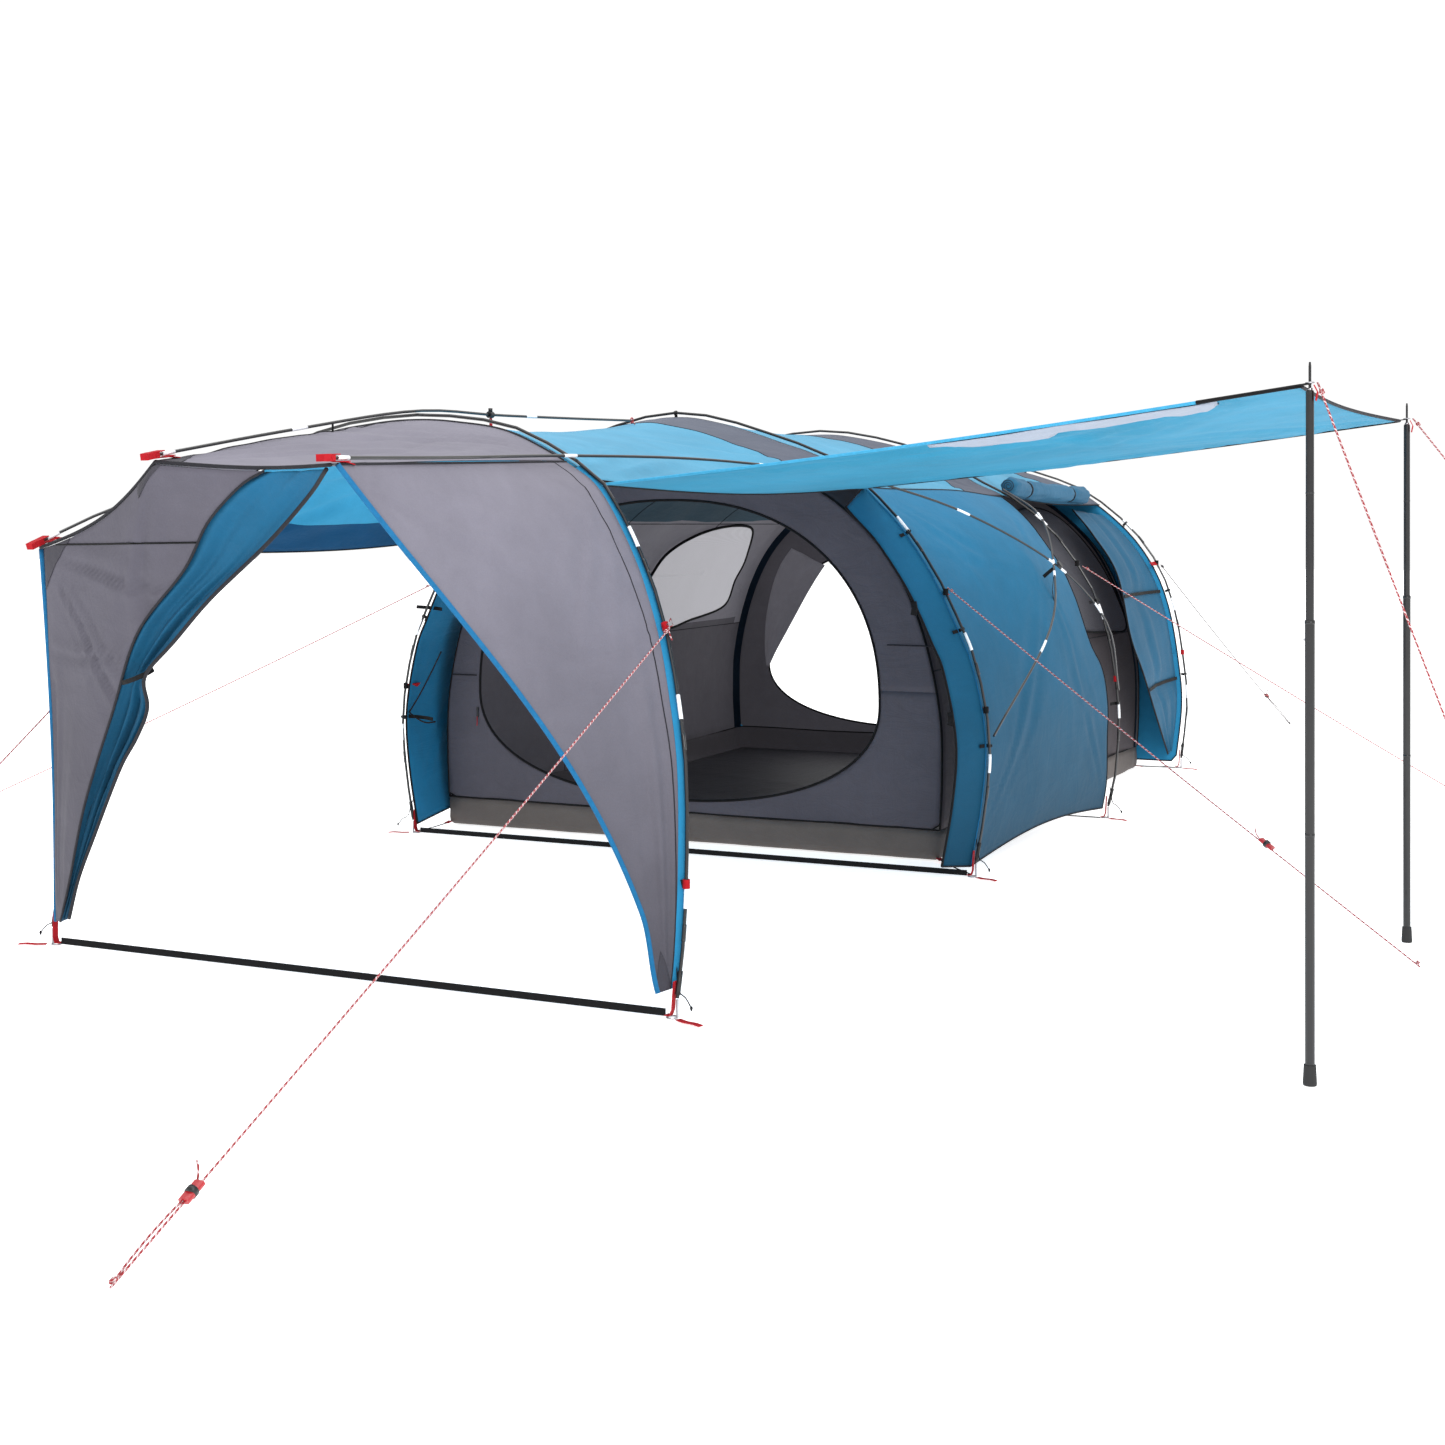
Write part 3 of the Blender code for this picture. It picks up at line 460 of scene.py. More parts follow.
# painted light: emission makes both nets glow, the dark one in its shaded gap and the pale one as daylit
for nd in M["net_dark"].node_tree.nodes:
    if nd.type == "BSDF_PRINCIPLED":
        nd.inputs["Emission Color"].default_value = lin(52, 50, 55) + (1,)
        nd.inputs["Emission Strength"].default_value = 0.45
for nd in M["net_painted_lit"].node_tree.nodes:
    if nd.type == "BSDF_PRINCIPLED":
        nd.inputs["Emission Color"].default_value = lin(196, 195, 200) + (1,)
        nd.inputs["Emission Strength"].default_value = 0.62


def rope_mat(name, c1, c2, pitch=95.0):
    """Braided cord: a red sheath with a light fleck running round it."""
    m, nt, b = nodes_of(name)
    tc = nt.nodes.new("ShaderNodeTexCoord")
    mp = nt.nodes.new("ShaderNodeMapping")
    nt.links.new(tc.outputs["UV"], mp.inputs["Vector"])
    mp.inputs["Scale"].default_value = (1, 1, 1)
    sep = nt.nodes.new("ShaderNodeSeparateXYZ")
    nt.links.new(mp.outputs[0], sep.inputs[0])
    u, v = sep.outputs[0], sep.outputs[1]        # u round the cord 0..1, v metres along it
    ph = mathn(nt, "FRACT", mathn(nt, "ADD", u, mathn(nt, "MULTIPLY", v, pitch / 2)))
    ph2 = mathn(nt, "FRACT", mathn(nt, "SUBTRACT", mathn(nt, "MULTIPLY", v, pitch / 2), u))
    a = mathn(nt, "LESS_THAN", ph, 0.26)
    c = mathn(nt, "LESS_THAN", ph2, 0.16)
    f = mathn(nt, "MAXIMUM", a, mathn(nt, "MULTIPLY", c, 0.55))
    nt.links.new(mix_rgb(nt, f, c1, c2), b.inputs["Base Color"])
    b.inputs["Roughness"].default_value = 0.75
    b.inputs["Sheen Weight"].default_value = 0.2
    st = mathn(nt, "SINE", mathn(nt, "MULTIPLY", mathn(nt, "ADD", mathn(nt, "MULTIPLY", u, 4), mathn(nt, "MULTIPLY", v, 420)), 6.28318))
    s2 = mathn(nt, "SINE", mathn(nt, "MULTIPLY", mathn(nt, "SUBTRACT", mathn(nt, "MULTIPLY", v, 420), mathn(nt, "MULTIPLY", u, 4)), 6.28318))
    bp = nt.nodes.new("ShaderNodeBump")
    bp.inputs["Strength"].default_value = 0.6
    bp.inputs["Distance"].default_value = 0.0008
    nt.links.new(mathn(nt, "MAXIMUM", st, s2), bp.inputs["Height"])
    nt.links.new(bp.outputs[0], b.inputs["Normal"])
    return m


M["rope"] = rope_mat("red_braid", lin(146, 10, 24), lin(214, 196, 198))
M["rope_dark"] = rope_mat("grey_braid", lin(40, 36, 40), lin(96, 80, 84))


# ====================================================================== mesh building
def link(ob):
    bpy.context.scene.collection.objects.link(ob)
    return ob


def mesh_object(name, verts, faces, mats, mat_idx=None, smooth=True, uvs=None, body="tent"):
    me = bpy.data.meshes.new(name)
    me.from_pydata([tuple(Vector(v) + SHIFT) for v in verts], [], faces)
    for m in mats:
        me.materials.append(M[m] if isinstance(m, str) else m)
    if mat_idx is not None:
        me.polygons.foreach_set("material_index", mat_idx)
    if smooth:
        me.polygons.foreach_set("use_smooth", [True] * len(me.polygons))
    if uvs is not None:
        layer = me.uv_layers.new(name="UVMap")
        flat = []
        for f in me.polygons:
            for k, vi in enumerate(f.vertices):
                flat.extend(uvs[f.index][k])
        layer.data.foreach_set("uv", flat)
    me.update()
    ob = link(bpy.data.objects.new(name, me))
    if body:
        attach(ob, body)
    return ob


def tube(name, pts, radius, mat, body="tent", sides=8, radii=None, parent_uv=True):
    """A closed tube along points (tent coordinates); u goes round it, v is metres along it."""
    pts = [Vector(p) for p in pts]
    n = len(pts)
    verts, faces, uvs = [], [], []
    t0 = (pts[1] - pts[0]).normalized()
    ref = Vector((0, 0, 1)) if abs(t0.z) < 0.9 else Vector((1, 0, 0))
    nrm = (ref - t0 * ref.dot(t0)).normalized()
    acc = 0.0
    vs = []
    for i, p in enumerate(pts):
        t = (pts[min(i + 1, n - 1)] - pts[max(i - 1, 0)]).normalized()
        nrm = (nrm - t * nrm.dot(t))
        nrm = nrm.normalized() if nrm.length > 1e-6 else t.orthogonal().normalized()
        bi = t.cross(nrm)
        r = radii[i] if radii else radius
        if i:
            acc += (p - pts[i - 1]).length
        vs.append(acc)
        for k in range(sides):
            a = 2 * math.pi * k / sides
            verts.append(p + (nrm * math.cos(a) + bi * math.sin(a)) * r)
    for i in range(n - 1):
        for k in range(sides):
            a, b = i * sides + k, i * sides + (k + 1) % sides
            faces.append((a, b, b + sides, a + sides))
            uvs.append(((k / sides, vs[i]), ((k + 1) / sides, vs[i]), ((k + 1) / sides, vs[i + 1]), (k / sides, vs[i + 1])))
    faces.append(tuple(reversed(range(sides))))
    uvs.append(tuple((0.5, 0.0) for _ in range(sides)))
    faces.append(tuple((n - 1) * sides + k for k in range(sides)))
    uvs.append(tuple((0.5, acc) for _ in range(sides)))
    return mesh_object(name, verts, faces, [mat], uvs=uvs, body=body)


def ribbon(name, pts, width, thick, mat, up=None, body="tent", widths=None):
    """A flat strap along points.  up(i, point) is the direction its face looks."""
    pts = [Vector(p) for p in pts]
    n = len(pts)
    verts, faces = [], []
    for i, p in enumerate(pts):
        t = (pts[min(i + 1, n - 1)] - pts[max(i - 1, 0)]).normalized()
        u = Vector(up(i, p)) if callable(up) else Vector(up or (0, 0, 1))
        u = (u - t * u.dot(t))
        u = u.normalized() if u.length > 1e-6 else t.orthogonal().normalized()
        s = t.cross(u)
        w = (widths[i] if widths else width) / 2
        h = thick / 2
        verts += [p - s * w - u * h, p + s * w - u * h, p + s * w + u * h, p - s * w + u * h]
    for i in range(n - 1):
        for k in range(4):
            a, b = i * 4 + k, i * 4 + (k + 1) % 4
            faces.append((a, b, b + 4, a + 4))
    faces.append((3, 2, 1, 0))
    faces.append(tuple((n - 1) * 4 + k for k in range(4)))
    ob = mesh_object(name, verts, faces, [mat], smooth=False, body=body)
    return ob


def shell(name, P, mats, thick=0.0016, mat_fn=None, body="tent", mask=None):
    """Thin cloth through a grid of points P[i][j]: mats = (outer, inner, rim).  mat_fn(i, j, side) may
    pick another material; mask(i, j) may leave a cell open."""
    ni, nj = len(P), len(P[0])
    A = np.array([[tuple(p) for p in row] for row in P], float)
    du = np.gradient(A, axis=0)
    dv = np.gradient(A, axis=1)
    N = np.cross(du, dv)
    N /= np.maximum(np.linalg.norm(N, axis=2, keepdims=True), 1e-9)
    top = A + N * thick / 2
    bot = A - N * thick / 2
    verts = [tuple(v) for v in top.reshape(-1, 3)] + [tuple(v) for v in bot.reshape(-1, 3)]
    off = ni * nj
    faces, idx = [], []
    open_ = [[bool(mask and mask(i, j)) for j in range(nj - 1)] for i in range(ni - 1)]

    def present(i, j):
        return 0 <= i < ni - 1 and 0 <= j < nj - 1 and not open_[i][j]

    for i in range(ni - 1):
        for j in range(nj - 1):
            if not present(i, j):
                continue
            a, b, c, d = i * nj + j, (i + 1) * nj + j, (i + 1) * nj + j + 1, i * nj + j + 1
            faces.append((a, b, c, d))
            idx.append(mat_fn(i, j, 0) if mat_fn else 0)
            faces.append((off + a, off + d, off + c, off + b))
            idx.append(mat_fn(i, j, 1) if mat_fn else 1)
            for (q0, q1, ii, jj) in ((a, b, i, j - 1), (b, c, i + 1, j), (c, d, i, j + 1), (d, a, i - 1, j)):
                if not present(ii, jj):
                    faces.append((q0, off + q0, off + q1, q1))
                    idx.append(min(2, len(mats) - 1))
    used = sorted({v for f in faces for v in f})
    if len(used) < len(verts):
        new = {v: k for k, v in enumerate(used)}
        verts = [verts[v] for v in used]
        faces = [tuple(new[v] for v in f) for f in faces]
    ob = mesh_object(name, verts, faces, mats, idx, body=body)
    ob.cycles.shadow_terminator_geometry_offset = 0.3
    ob.cycles.shadow_terminator_offset = 0.15
    ob["mid_area"] = float(sum(
        0.5 * np.linalg.norm(np.cross(A[i + 1, j] - A[i, j], A[i, j + 1] - A[i, j]))
        + 0.5 * np.linalg.norm(np.cross(A[i + 1, j] - A[i + 1, j + 1], A[i, j + 1] - A[i + 1, j + 1]))
        for i in range(ni - 1) for j in range(nj - 1) if present(i, j)))
    wi = [np.linalg.norm(np.diff(A[:, j], axis=0), axis=1).sum() for j in range(nj)]
    wj = [np.linalg.norm(np.diff(A[i, :], axis=0), axis=1).sum() for i in range(ni)]
    ob["flat_i"] = float(np.max(wi))
    ob["flat_j"] = float(np.max(wj))
    flat = A.reshape(-1, 3) - A.reshape(-1, 3).mean(axis=0)
    axes = np.linalg.svd(flat, full_matrices=False)[2]
    ob["extent"] = [float(np.ptp(flat @ a)) for a in axes]
    return ob


SHEETS = []


def declare(ob, held, rests=(), pieces=(), factor=1.0):
    SHEETS.append((ob, held, rests, pieces, factor))


def fn3(p, scale, seed=0.0):
    return noise.noise(Vector((p.x * scale + seed, p.y * scale - seed, p.z * scale + seed * 0.7)))


def wrinkle(P, folds=(), fine=0.004, seed=1.0, edge=0.06, taper=True, scale=2.2):
    """Moves a grid of points along its normals: broad unevenness plus tension folds.
    folds = (centre, direction, length, spacing, height, width): ridges that run from a centre along a
    direction and fan out."""
    ni, nj = len(P), len(P[0])
    A = np.array([[tuple(p) for p in row] for row in P], float)
    du, dv = np.gradient(A, axis=0), np.gradient(A, axis=1)
    N = np.cross(du, dv)
    N /= np.maximum(np.linalg.norm(N, axis=2, keepdims=True), 1e-9)
    out = []
    for i in range(ni):
        row = []
        for j in range(nj):
            p = Vector(A[i, j])
            s, t = i / (ni - 1), j / (nj - 1)
            k = 1.0
            if taper:
                k = min(1.0, min(s, 1 - s) / edge, min(t, 1 - t) / edge)
                k = k * k * (3 - 2 * k)
            d = fine * (fn3(p, scale, seed) + 0.5 * fn3(p, scale * 2.7, seed * 3)
                        + 0.25 * fn3(Vector((p.x, p.y * 0.4, p.z * 2.4)), scale * 5, seed))
            for (c, direction, length, spacing, height, width) in folds:
                c = Vector(c)
                v = p - c
                dr = Vector(direction).normalized()
                along = v.dot(dr)
                if along < -0.02 or along > length:
                    continue
                side = dr.cross(Vector(N[i, j]))
                if side.length < 1e-6:
                    continue
                across = v.dot(side.normalized())
                fan = spacing * (0.35 + 1.1 * max(along, 0) / length)
                env = math.sin(math.pi * min(max((along + 0.02) / length, 0), 1)) ** 0.8
                env *= math.exp(-(across / (width * (0.3 + 0.9 * max(along, 0) / length))) ** 2)
                d += height * env * (math.cos(2 * math.pi * across / fan + seed * 7) * 0.6
                                     + math.cos(2 * math.pi * across / (fan * 0.57) + 2.1 * seed) * 0.3)
            row.append(p + Vector(N[i, j]) * d * k)
        out.append(row)
    return out


def grid(f, ni, nj):
    return [[f(i / ni, j / nj) for j in range(nj + 1)] for i in range(ni + 1)]


def recess(P, axis, positions, depth, width):
    """Meant as a sewn seam across the grid; it returns the grid unchanged."""
    return P


def ring_shell(name, outer, inner, ni, y_fn, mats, thick=0.0016, mat_fn=None, seed=1.0, fine=0.004):
    """Flat cloth wall between an outline and a doorway, both lists of (x, z) with the same count."""
    n = len(outer)
    P = []
    for i in range(ni + 1):
        t = i / ni
        row = []
        for j in range(n + 1):
            a, b = inner[j % n], outer[j % n]
            x, z = a[0] + (b[0] - a[0]) * t, a[1] + (b[1] - a[1]) * t
            p = Vector((x, 0, z))
            w = fine * math.sin(math.pi * min(1, t * 1.0)) * (fn3(p, 2.6, seed) + 0.5 * fn3(p, 6.5, seed * 2))
            row.append(Vector((x, y_fn(x, z) + w, z)))
        P.append(row)
    return shell(name, P, mats, thick, mat_fn), P


def superellipse(cx, cz, rx, up, low, n, power=2.25, start=0.0):
    out = []
    for i in range(n):
        t = 2 * math.pi * i / n + start
        c, s = math.cos(t), math.sin(t)
        out.append((cx + rx * math.copysign(abs(c) ** (2 / power), c),
                    cz + (up if s > 0 else low) * math.copysign(abs(s) ** (2 / power), s)))
    return out


def outline_by_angle(pts, cx, cz, n):
    """Where rays from a centre leave a closed outline."""
    out = []
    m = len(pts)
    for i in range(n):
        a = 2 * math.pi * i / n
        d = (math.cos(a), math.sin(a))
        best = None
        for k in range(m):
            x0, z0 = pts[k][0] - cx, pts[k][1] - cz
            x1, z1 = pts[(k + 1) % m][0] - cx, pts[(k + 1) % m][1] - cz
            ex, ez = x1 - x0, z1 - z0
            den = d[0] * ez - d[1] * ex
            if abs(den) < 1e-12:
                continue
            r = (x0 * ez - z0 * ex) / den
            q = (x0 * d[1] - z0 * d[0]) / den
            if r > 0 and -1e-9 <= q <= 1 + 1e-9 and (best is None or r > best):
                best = r
        out.append((cx + d[0] * best, cz + d[1] * best))
    return out


def wall_outline(k, z0, inset, sx=1.0, cx=0.0, n=60):
    ue = uz(k, z0)
    pts = []
    for j in range(n + 1):
        x, z = PROF[k].at(-ue + 2 * ue * j / n, inset)
        pts.append((cx + x * sx, max(z, z0)))
    return pts


TRIM = []


def trim(ob):
    TRIM.append(ob)
    return ob


# ====================================================================== camera
cam_data = bpy.data.cameras.new("camera")
cam_data.lens = 46.64
cam_data.sensor_width = 36.0
cam_data.shift_y = -0.1374
cam_data.clip_start, cam_data.clip_end = 0.05, 300
cam = link(bpy.data.objects.new("camera", cam_data))
cam.location = Vector((3.925, -5.448, 1.6)) + SHIFT
look = Vector((-0.409, 0.913, 0.0))
cam.rotation_euler = look.to_track_quat("-Z", "Y").to_euler()
bpy.context.scene.camera = cam

# ====================================================================== guy ropes
def knot(name, p, d, mat, size=0.011, loop=0.05):
    """An overhand knot."""
    d = Vector(d).normalized()
    s = d.cross(Vector((0, 0, 1)))
    s = s.normalized() if s.length > 1e-3 else Vector((1, 0, 0))
    u = s.cross(d).normalized()
    if u.z < 0:
        u = -u
    pts = []
    for k in range(26):
        a = 2 * math.pi * k / 25 * 1.5
        pts.append(Vector(p) + d * (0.006 * math.sin(a * 1.3)) + (s * math.cos(a) + u * math.sin(a)) * size * 0.45
                   + u * size * 0.15)
    ob = tube(name, pts, ROPE_R * 0.95, mat, sides=8)
    return ob


def cord_loop(name, p, d, mat, length=0.055, width=0.022, body="tent", r=None, up=None):
    d = Vector(d).normalized()
    s = Vector(up) if up else d.cross(Vector((0, 0, 1)))
    s = s.normalized() if s.length > 1e-3 else Vector((1, 0, 0))
    pts = []
    for k in range(21):
        a = math.pi * 2 * k / 20
        pts.append(Vector(p) + d * (length * 0.5 * (1 - math.cos(a))) + s * (width * 0.5 * math.sin(a)))
    return tube(name, pts, r or ROPE_R * 0.9, mat, body=body, sides=6)


CORDS = []
for name, top, end, slider in ROPES:
    top, end = Vector(top), Vector(end)
    d = (end - top).normalized()
    L = (end - top).length
    dark = name in ("guy_rope_back_right", "guy_rope_rear_right", "guy_rope_porch_left")
    mat = "rope_dark" if name == "guy_rope_back_right" else "rope"
    n = 36
    pts = [top.lerp(end, i / n) for i in range(n + 1)]
    sagv = 0.004 * L
    side = d.cross(Vector((0, 0, 1))).normalized()
    pts = [p - Vector((0, 0, 1)) * sagv * math.sin(math.pi * i / n) for i, p in enumerate(pts)]
    pts[-1] = end.copy()
    rope = tube(name + "_cord", pts, ROPE_R, mat, sides=10)
    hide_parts(name)
    with_p = []
    k1 = knot(name + "_end_knot", end - d * 0.012 + Vector((0, 0, 0.006)), d, mat)
    with_p.append(k1)
    k0 = knot(name + "_top_knot", top + d * 0.030, d, mat)
    with_p.append(k0)
    # the returning strand, from the ground end back up to its slider
    if slider is not None:
        at = top.lerp(end, slider)
        body = name.replace("guy_rope_", "tensioner_") + "_slider"
        m = 22
        q = []
        for i in range(m + 1):
            f = i / m
            c = at.lerp(end - d * 0.01, f) - Vector((0, 0, 1)) * (sagv * math.sin(math.pi * (slider + (1 - slider) * f)))
            off = side * (0.0085 * math.sin(math.pi * min(1, f * 1.0)) ** 0.5) + Vector((0, 0, 0.0052)) * math.sin(math.pi * f) ** 0.5
            q.append(c + off)
        strand = tube(name + "_return_strand", q, ROPE_R * 0.95, mat, sides=8, body=None)
        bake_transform(strand)
        with_p.append(strand)
        # short tail through the slider
        tail = tube(name + "_tail", [at - d * 0.028 + side * 0.006, at - d * 0.040 + side * 0.012 + Vector((0, 0, 0.010)),
                                     at - d * 0.046 + side * 0.017 + Vector((0, 0, 0.024)),
                                     at - d * 0.044 + side * 0.020 + Vector((0, 0, 0.036))],
                    ROPE_R * 0.9, mat, sides=8, body=body)
        with_p.append(tail)
        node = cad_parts["tensioner_" + name.replace("guy_rope_", "")]
        with_p.append(node)
        # black band on the slider
        band = tube("tensioner_band_" + name.replace("guy_rope_", ""), [at - d * 0.007, at + d * 0.007], 0.0152,
                    "plastic", body=body, sides=20)
        with_p.append(band)
    CORDS.append((rope, pts, name, with_p, L))

# ====================================================================== fly sheets
NU = 84


def roof(name, node, k0, dy0, l0, r0, k1, dy1, l1, r1, depth, strip, folds, seed, left_band=0.0):
    def f(s, t):
        a = arch(k0, -l0 + (l0 + r0) * t, INSET, dy0)
        b = arch(k1, -l1 + (l1 + r1) * t, INSET, dy1)
        p = a.lerp(b, s)
        # between the arches the cloth pulls in towards the tunnel's axis
        pull = depth * math.sin(math.pi * s)
        n = Vector((p.x, 0, max(p.z - 0.9, 0.2))).normalized()
        return p - n * pull
    P = wrinkle(grid(f, 54, NU), folds, 0.007, seed)
    js = int(round(strip * 54))

    def mf(i, j, side):
        if i >= js:
            return 2 if side else 3
        if left_band and j < left_band:
            return 4
        return 0 if side else 1
    ob = shell(name, P, ["sky", "sky_in", "grey_strip", "grey_in", "blue_dark"], 0.0016, mf)
    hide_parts(node)
    declare(ob, "stretched", ())
    if js < 54:
        trim(tube(name + "_seam", [P[js][j] + Vector((0, 0, 0.0012)) for j in range(NU + 1)], 0.0022, "bind_grey", sides=6))
    for e, j in (("left", 0), ("right", NU)):
        trim(tube(name + "_edge_" + e, [P[i][j] for i in range(55)], 0.0036, "piping", sides=6))
    return P


ROOF_F = roof("fly_roof_front_cloth", "fly_roof_front", "a", 0.030, uz("a", 1.50), uz("a", 1.775), "b", -GAP,
              uz("b", 1.56), uz("b", 1.800), 0.060, 0.83,
              [((0.95, 2.72, 1.80), (-0.5, -1, -0.1), 1.2, 0.16, 0.012, 0.35),
               ((0.78, 0.50, 1.77), (-0.2, 1, 0.1), 1.2, 0.15, 0.012, 0.35),
               ((-1.15, 2.72, 1.56), (0.4, -1, 0.1), 1.2, 0.15, 0.012, 0.35),
               ((-1.02, 0.42, 1.50), (0.4, 1, 0.1), 1.2, 0.15, 0.012, 0.35)], 1.3, 6)
ROOF_M = roof("fly_roof_middle_cloth", "fly_roof_middle", "b", GAP, uz("b", 1.800), uz("b", 1.800), "c", -GAP,
              uz("c", 1.775), uz("c", 1.775), 0.032, 0.77,
              [((0.95, 2.80, 1.80), (-0.6, 1, 0.1), 1.0, 0.14, 0.010, 0.30),
               ((1.08, 4.66, 1.77), (-0.6, -1, 0.1), 1.0, 0.14, 0.010, 0.30)], 2.1)
ROOF_R = roof("fly_roof_rear_cloth", "fly_roof_rear", "c", GAP, uz("c", 1.775), uz("c", 1.775), "d", -GAP,
              uz("d", 1.745), uz("d", 1.745), 0.032, 0.84,
              [((1.08, 4.74, 1.77), (-0.6, 1, 0.1), 1.1, 0.14, 0.010, 0.30),
               ((1.12, 6.93, 1.74), (-0.6, -1, 0.1), 1.1, 0.14, 0.010, 0.30)], 3.3)

# side panels between the porch and middle arches
REAR_EDGE = Path([(0, 4.625, 1.790), (0, 4.605, 1.705), (0, 4.46, 1.540), (0, 4.415, 1.375), (0, 4.36, 1.200),
                  (0, 4.385, 0.986), (0, 4.57, 0.787), (0, 4.575, 0.440), (0, 4.680, 0.048)])


def rear_y(z):
    best = min(REAR_EDGE.p, key=lambda q: abs(q.z - z))
    return best.y


def side_panel(name, node, sg, past):
    ub0, ub1 = uz("b", 1.800) + 0.006, uz("b", 0.045)
    uc0, uc1 = uz("c", 1.775) + 0.006, uz("c", 0.050)
    hub = Vector((sg * 1.600, 3.850, 1.383))
    NI, NJ = 64, 74
    NF = 7 if past else 0

    def f(i, j):
        t = j / NJ
        if i < NF:
            uf = uz("b", 1.800) + 0.022
            a = arch("b", sg * (uf + (ub1 - uf) * t), INSET + 0.090, -0.150)
            b = arch("b", sg * (ub0 + (ub1 - ub0) * t), INSET)
            return a.lerp(b, i / NF)
        s = (i - NF) / (NI - NF)
        b = arch("b", sg * (ub0 + (ub1 - ub0) * t), INSET)
        c = arch("c", sg * (uc0 + (uc1 - uc0) * t), INSET, -GAP)
        zr = b.z + (c.z - b.z) * 0.9
        if past:
            s = s * (rear_y(zr) - Y_B) / (Y_C - Y_B)
        p = b.lerp(c, s)
        p.x += sg * 0.035 * math.sin(math.pi * s) * math.sin(math.pi * min(t * 1.3, 1)) * (0.5 if past else 1)
        p.z += 0.055 * math.sin(math.pi * s) * t ** 6
        if past:
            # the hub draws the cloth out into a blunt point
            r = Vector((0, p.y - hub.y, p.z - hub.z)).length
            pull = 0.075 * max(0.0, 1 - r / 0.95) ** 1.6
            p += Vector((sg * 0.83, 0, 0.45)) * pull
        return p

    P = [[f(i, j) for j in range(NJ + 1)] for i in range(NI + 1)]
    folds = [((sg * 1.56, 3.85, 1.38), (0.02 * sg, -0.75, 0.30), 1.05, 0.15, 0.007, 0.16),
             ((sg * 1.56, 3.85, 1.38), (0.05 * sg, -0.60, -0.75), 1.1, 0.16, 0.007, 0.18),
             ((sg * 1.56, 3.85, 1.38), (0.05 * sg, 0.35, -0.9), 1.0, 0.15, 0.007, 0.16),
             ((sg * 1.56, 3.85, 1.38), (-0.3 * sg, 0.8, 0.6), 0.8, 0.15, 0.006, 0.14),
             ((sg * 1.53, 2.78, 0.10), (0.0, 0.65, 0.75), 1.2, 0.13, 0.007, 0.16),
             ((sg * 1.66, 4.64, 0.10), (0.0, -0.6, 0.75), 1.1, 0.13, 0.007, 0.16),
             ((sg * 0.98, 2.80, 1.78), (0.4 * sg, 0.7, -0.5), 0.9, 0.11, 0.007, 0.14)]
    P = wrinkle(P, folds, 0.005, 4.1 if sg > 0 else 5.2)
    ob = shell(name, P, ["blue_in", "blue", "bind_grey"] if sg > 0 else ["blue", "blue_in", "bind_grey"], 0.0016)
    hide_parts(node)
    declare(ob, "stretched")
    trim(tube(name + "_front_piping", [P[0][j] for j in range(NJ + 1)], 0.0058, "piping", sides=6))
    trim(tube(name + "_rear_piping", [P[NI][j] for j in range(NJ + 1)], 0.0045, "piping", sides=6))
    trim(tube(name + "_hem", [P[i][NJ] for i in range(NI + 1)], 0.0045, "bind_grey", sides=6))
    trim(tube(name + "_top_seam", [P[i][0] for i in range(NI + 1)], 0.0040, "bind_grey", sides=6))
    if past:
        k = NF
        trim(tube(name + "_pole_seam", [P[k][j] + Vector((sg * 0.0015, 0, 0)) for j in range(NJ + 1)], 0.0030, "bind_blue", sides=6))
    return P


SIDE_R = side_panel("fly_side_right_cloth", "fly_side_right", 1, True)
SIDE_L = side_panel("fly_side_left_cloth", "fly_side_left", -1, False)

# rear wall of the fly, with its round doorway
NA = 240
cx, cz = -0.10, 0.75
out = outline_by_angle(wall_outline("d", 0.045, INSET + 0.006), cx, cz, NA)
inn = outline_by_angle(superellipse(-0.10, 0.640, 1.180, 0.960, 0.520, 160), cx, cz, NA)
REAR_WALL, P = ring_shell("fly_rear_wall_cloth", out, inn, 14, lambda x, z: Y_D - 0.030, ["blue_in", "blue", "piping"], seed=7.0)
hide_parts("fly_rear_wall")
declare(REAR_WALL, "stretched")
trim(tube("fly_rear_door_piping", [P[0][j % NA] for j in range(NA + 1)], 0.0055, "piping", sides=6))
trim(tube("fly_rear_wall_edge", [P[14][j % NA] for j in range(NA + 1)], 0.0045, "bind_grey", sides=6))

# ====================================================================== inner tent
X_IN0, X_IN1, WIDER, Y_IN0, Y_IN1 = -0.12, -0.03, 1.045, 3.060, 6.850


def inner_at(u, t, inset=0.0):
    x, z = PROF["i"].at(u, inset)
    return Vector((X_IN0 + (X_IN1 - X_IN0) * t + x * (1 + (WIDER - 1) * t),
                   Y_IN0 + 0.006 + (Y_IN1 - Y_IN0 - 0.012) * t, z))


cx, cz = -0.16, 0.80
out = outline_by_angle(wall_outline("i", 0.150, 0.0, 1.0, X_IN0), cx, cz, NA)
inn = outline_by_angle(superellipse(-0.175, 0.730, 1.115, 0.990, 0.520, 160), cx, cz, NA)
FRONT_WALL, PF = ring_shell("inner_front_wall_cloth", out, inn, 14, lambda x, z: Y_IN0, ["inner_front", "inner", "piping"],
                            seed=8.0, fine=0.006)
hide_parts("inner_front_wall")
declare(FRONT_WALL, "stretched")
trim(tube("inner_door_piping", [PF[0][j % NA] for j in range(NA + 1)], 0.0065, "piping", sides=8))
trim(tube("inner_front_edge", [PF[14][j % NA] for j in range(NA + 1)], 0.0045, "piping", sides=6))
out = outline_by_angle(wall_outline("i", 0.150, 0.0, WIDER, X_IN1), cx, cz - 0.05, NA)
inn = outline_by_angle(superellipse(-0.17, 0.620, 1.050, 0.840, 0.420, 160), cx, cz - 0.05, NA)
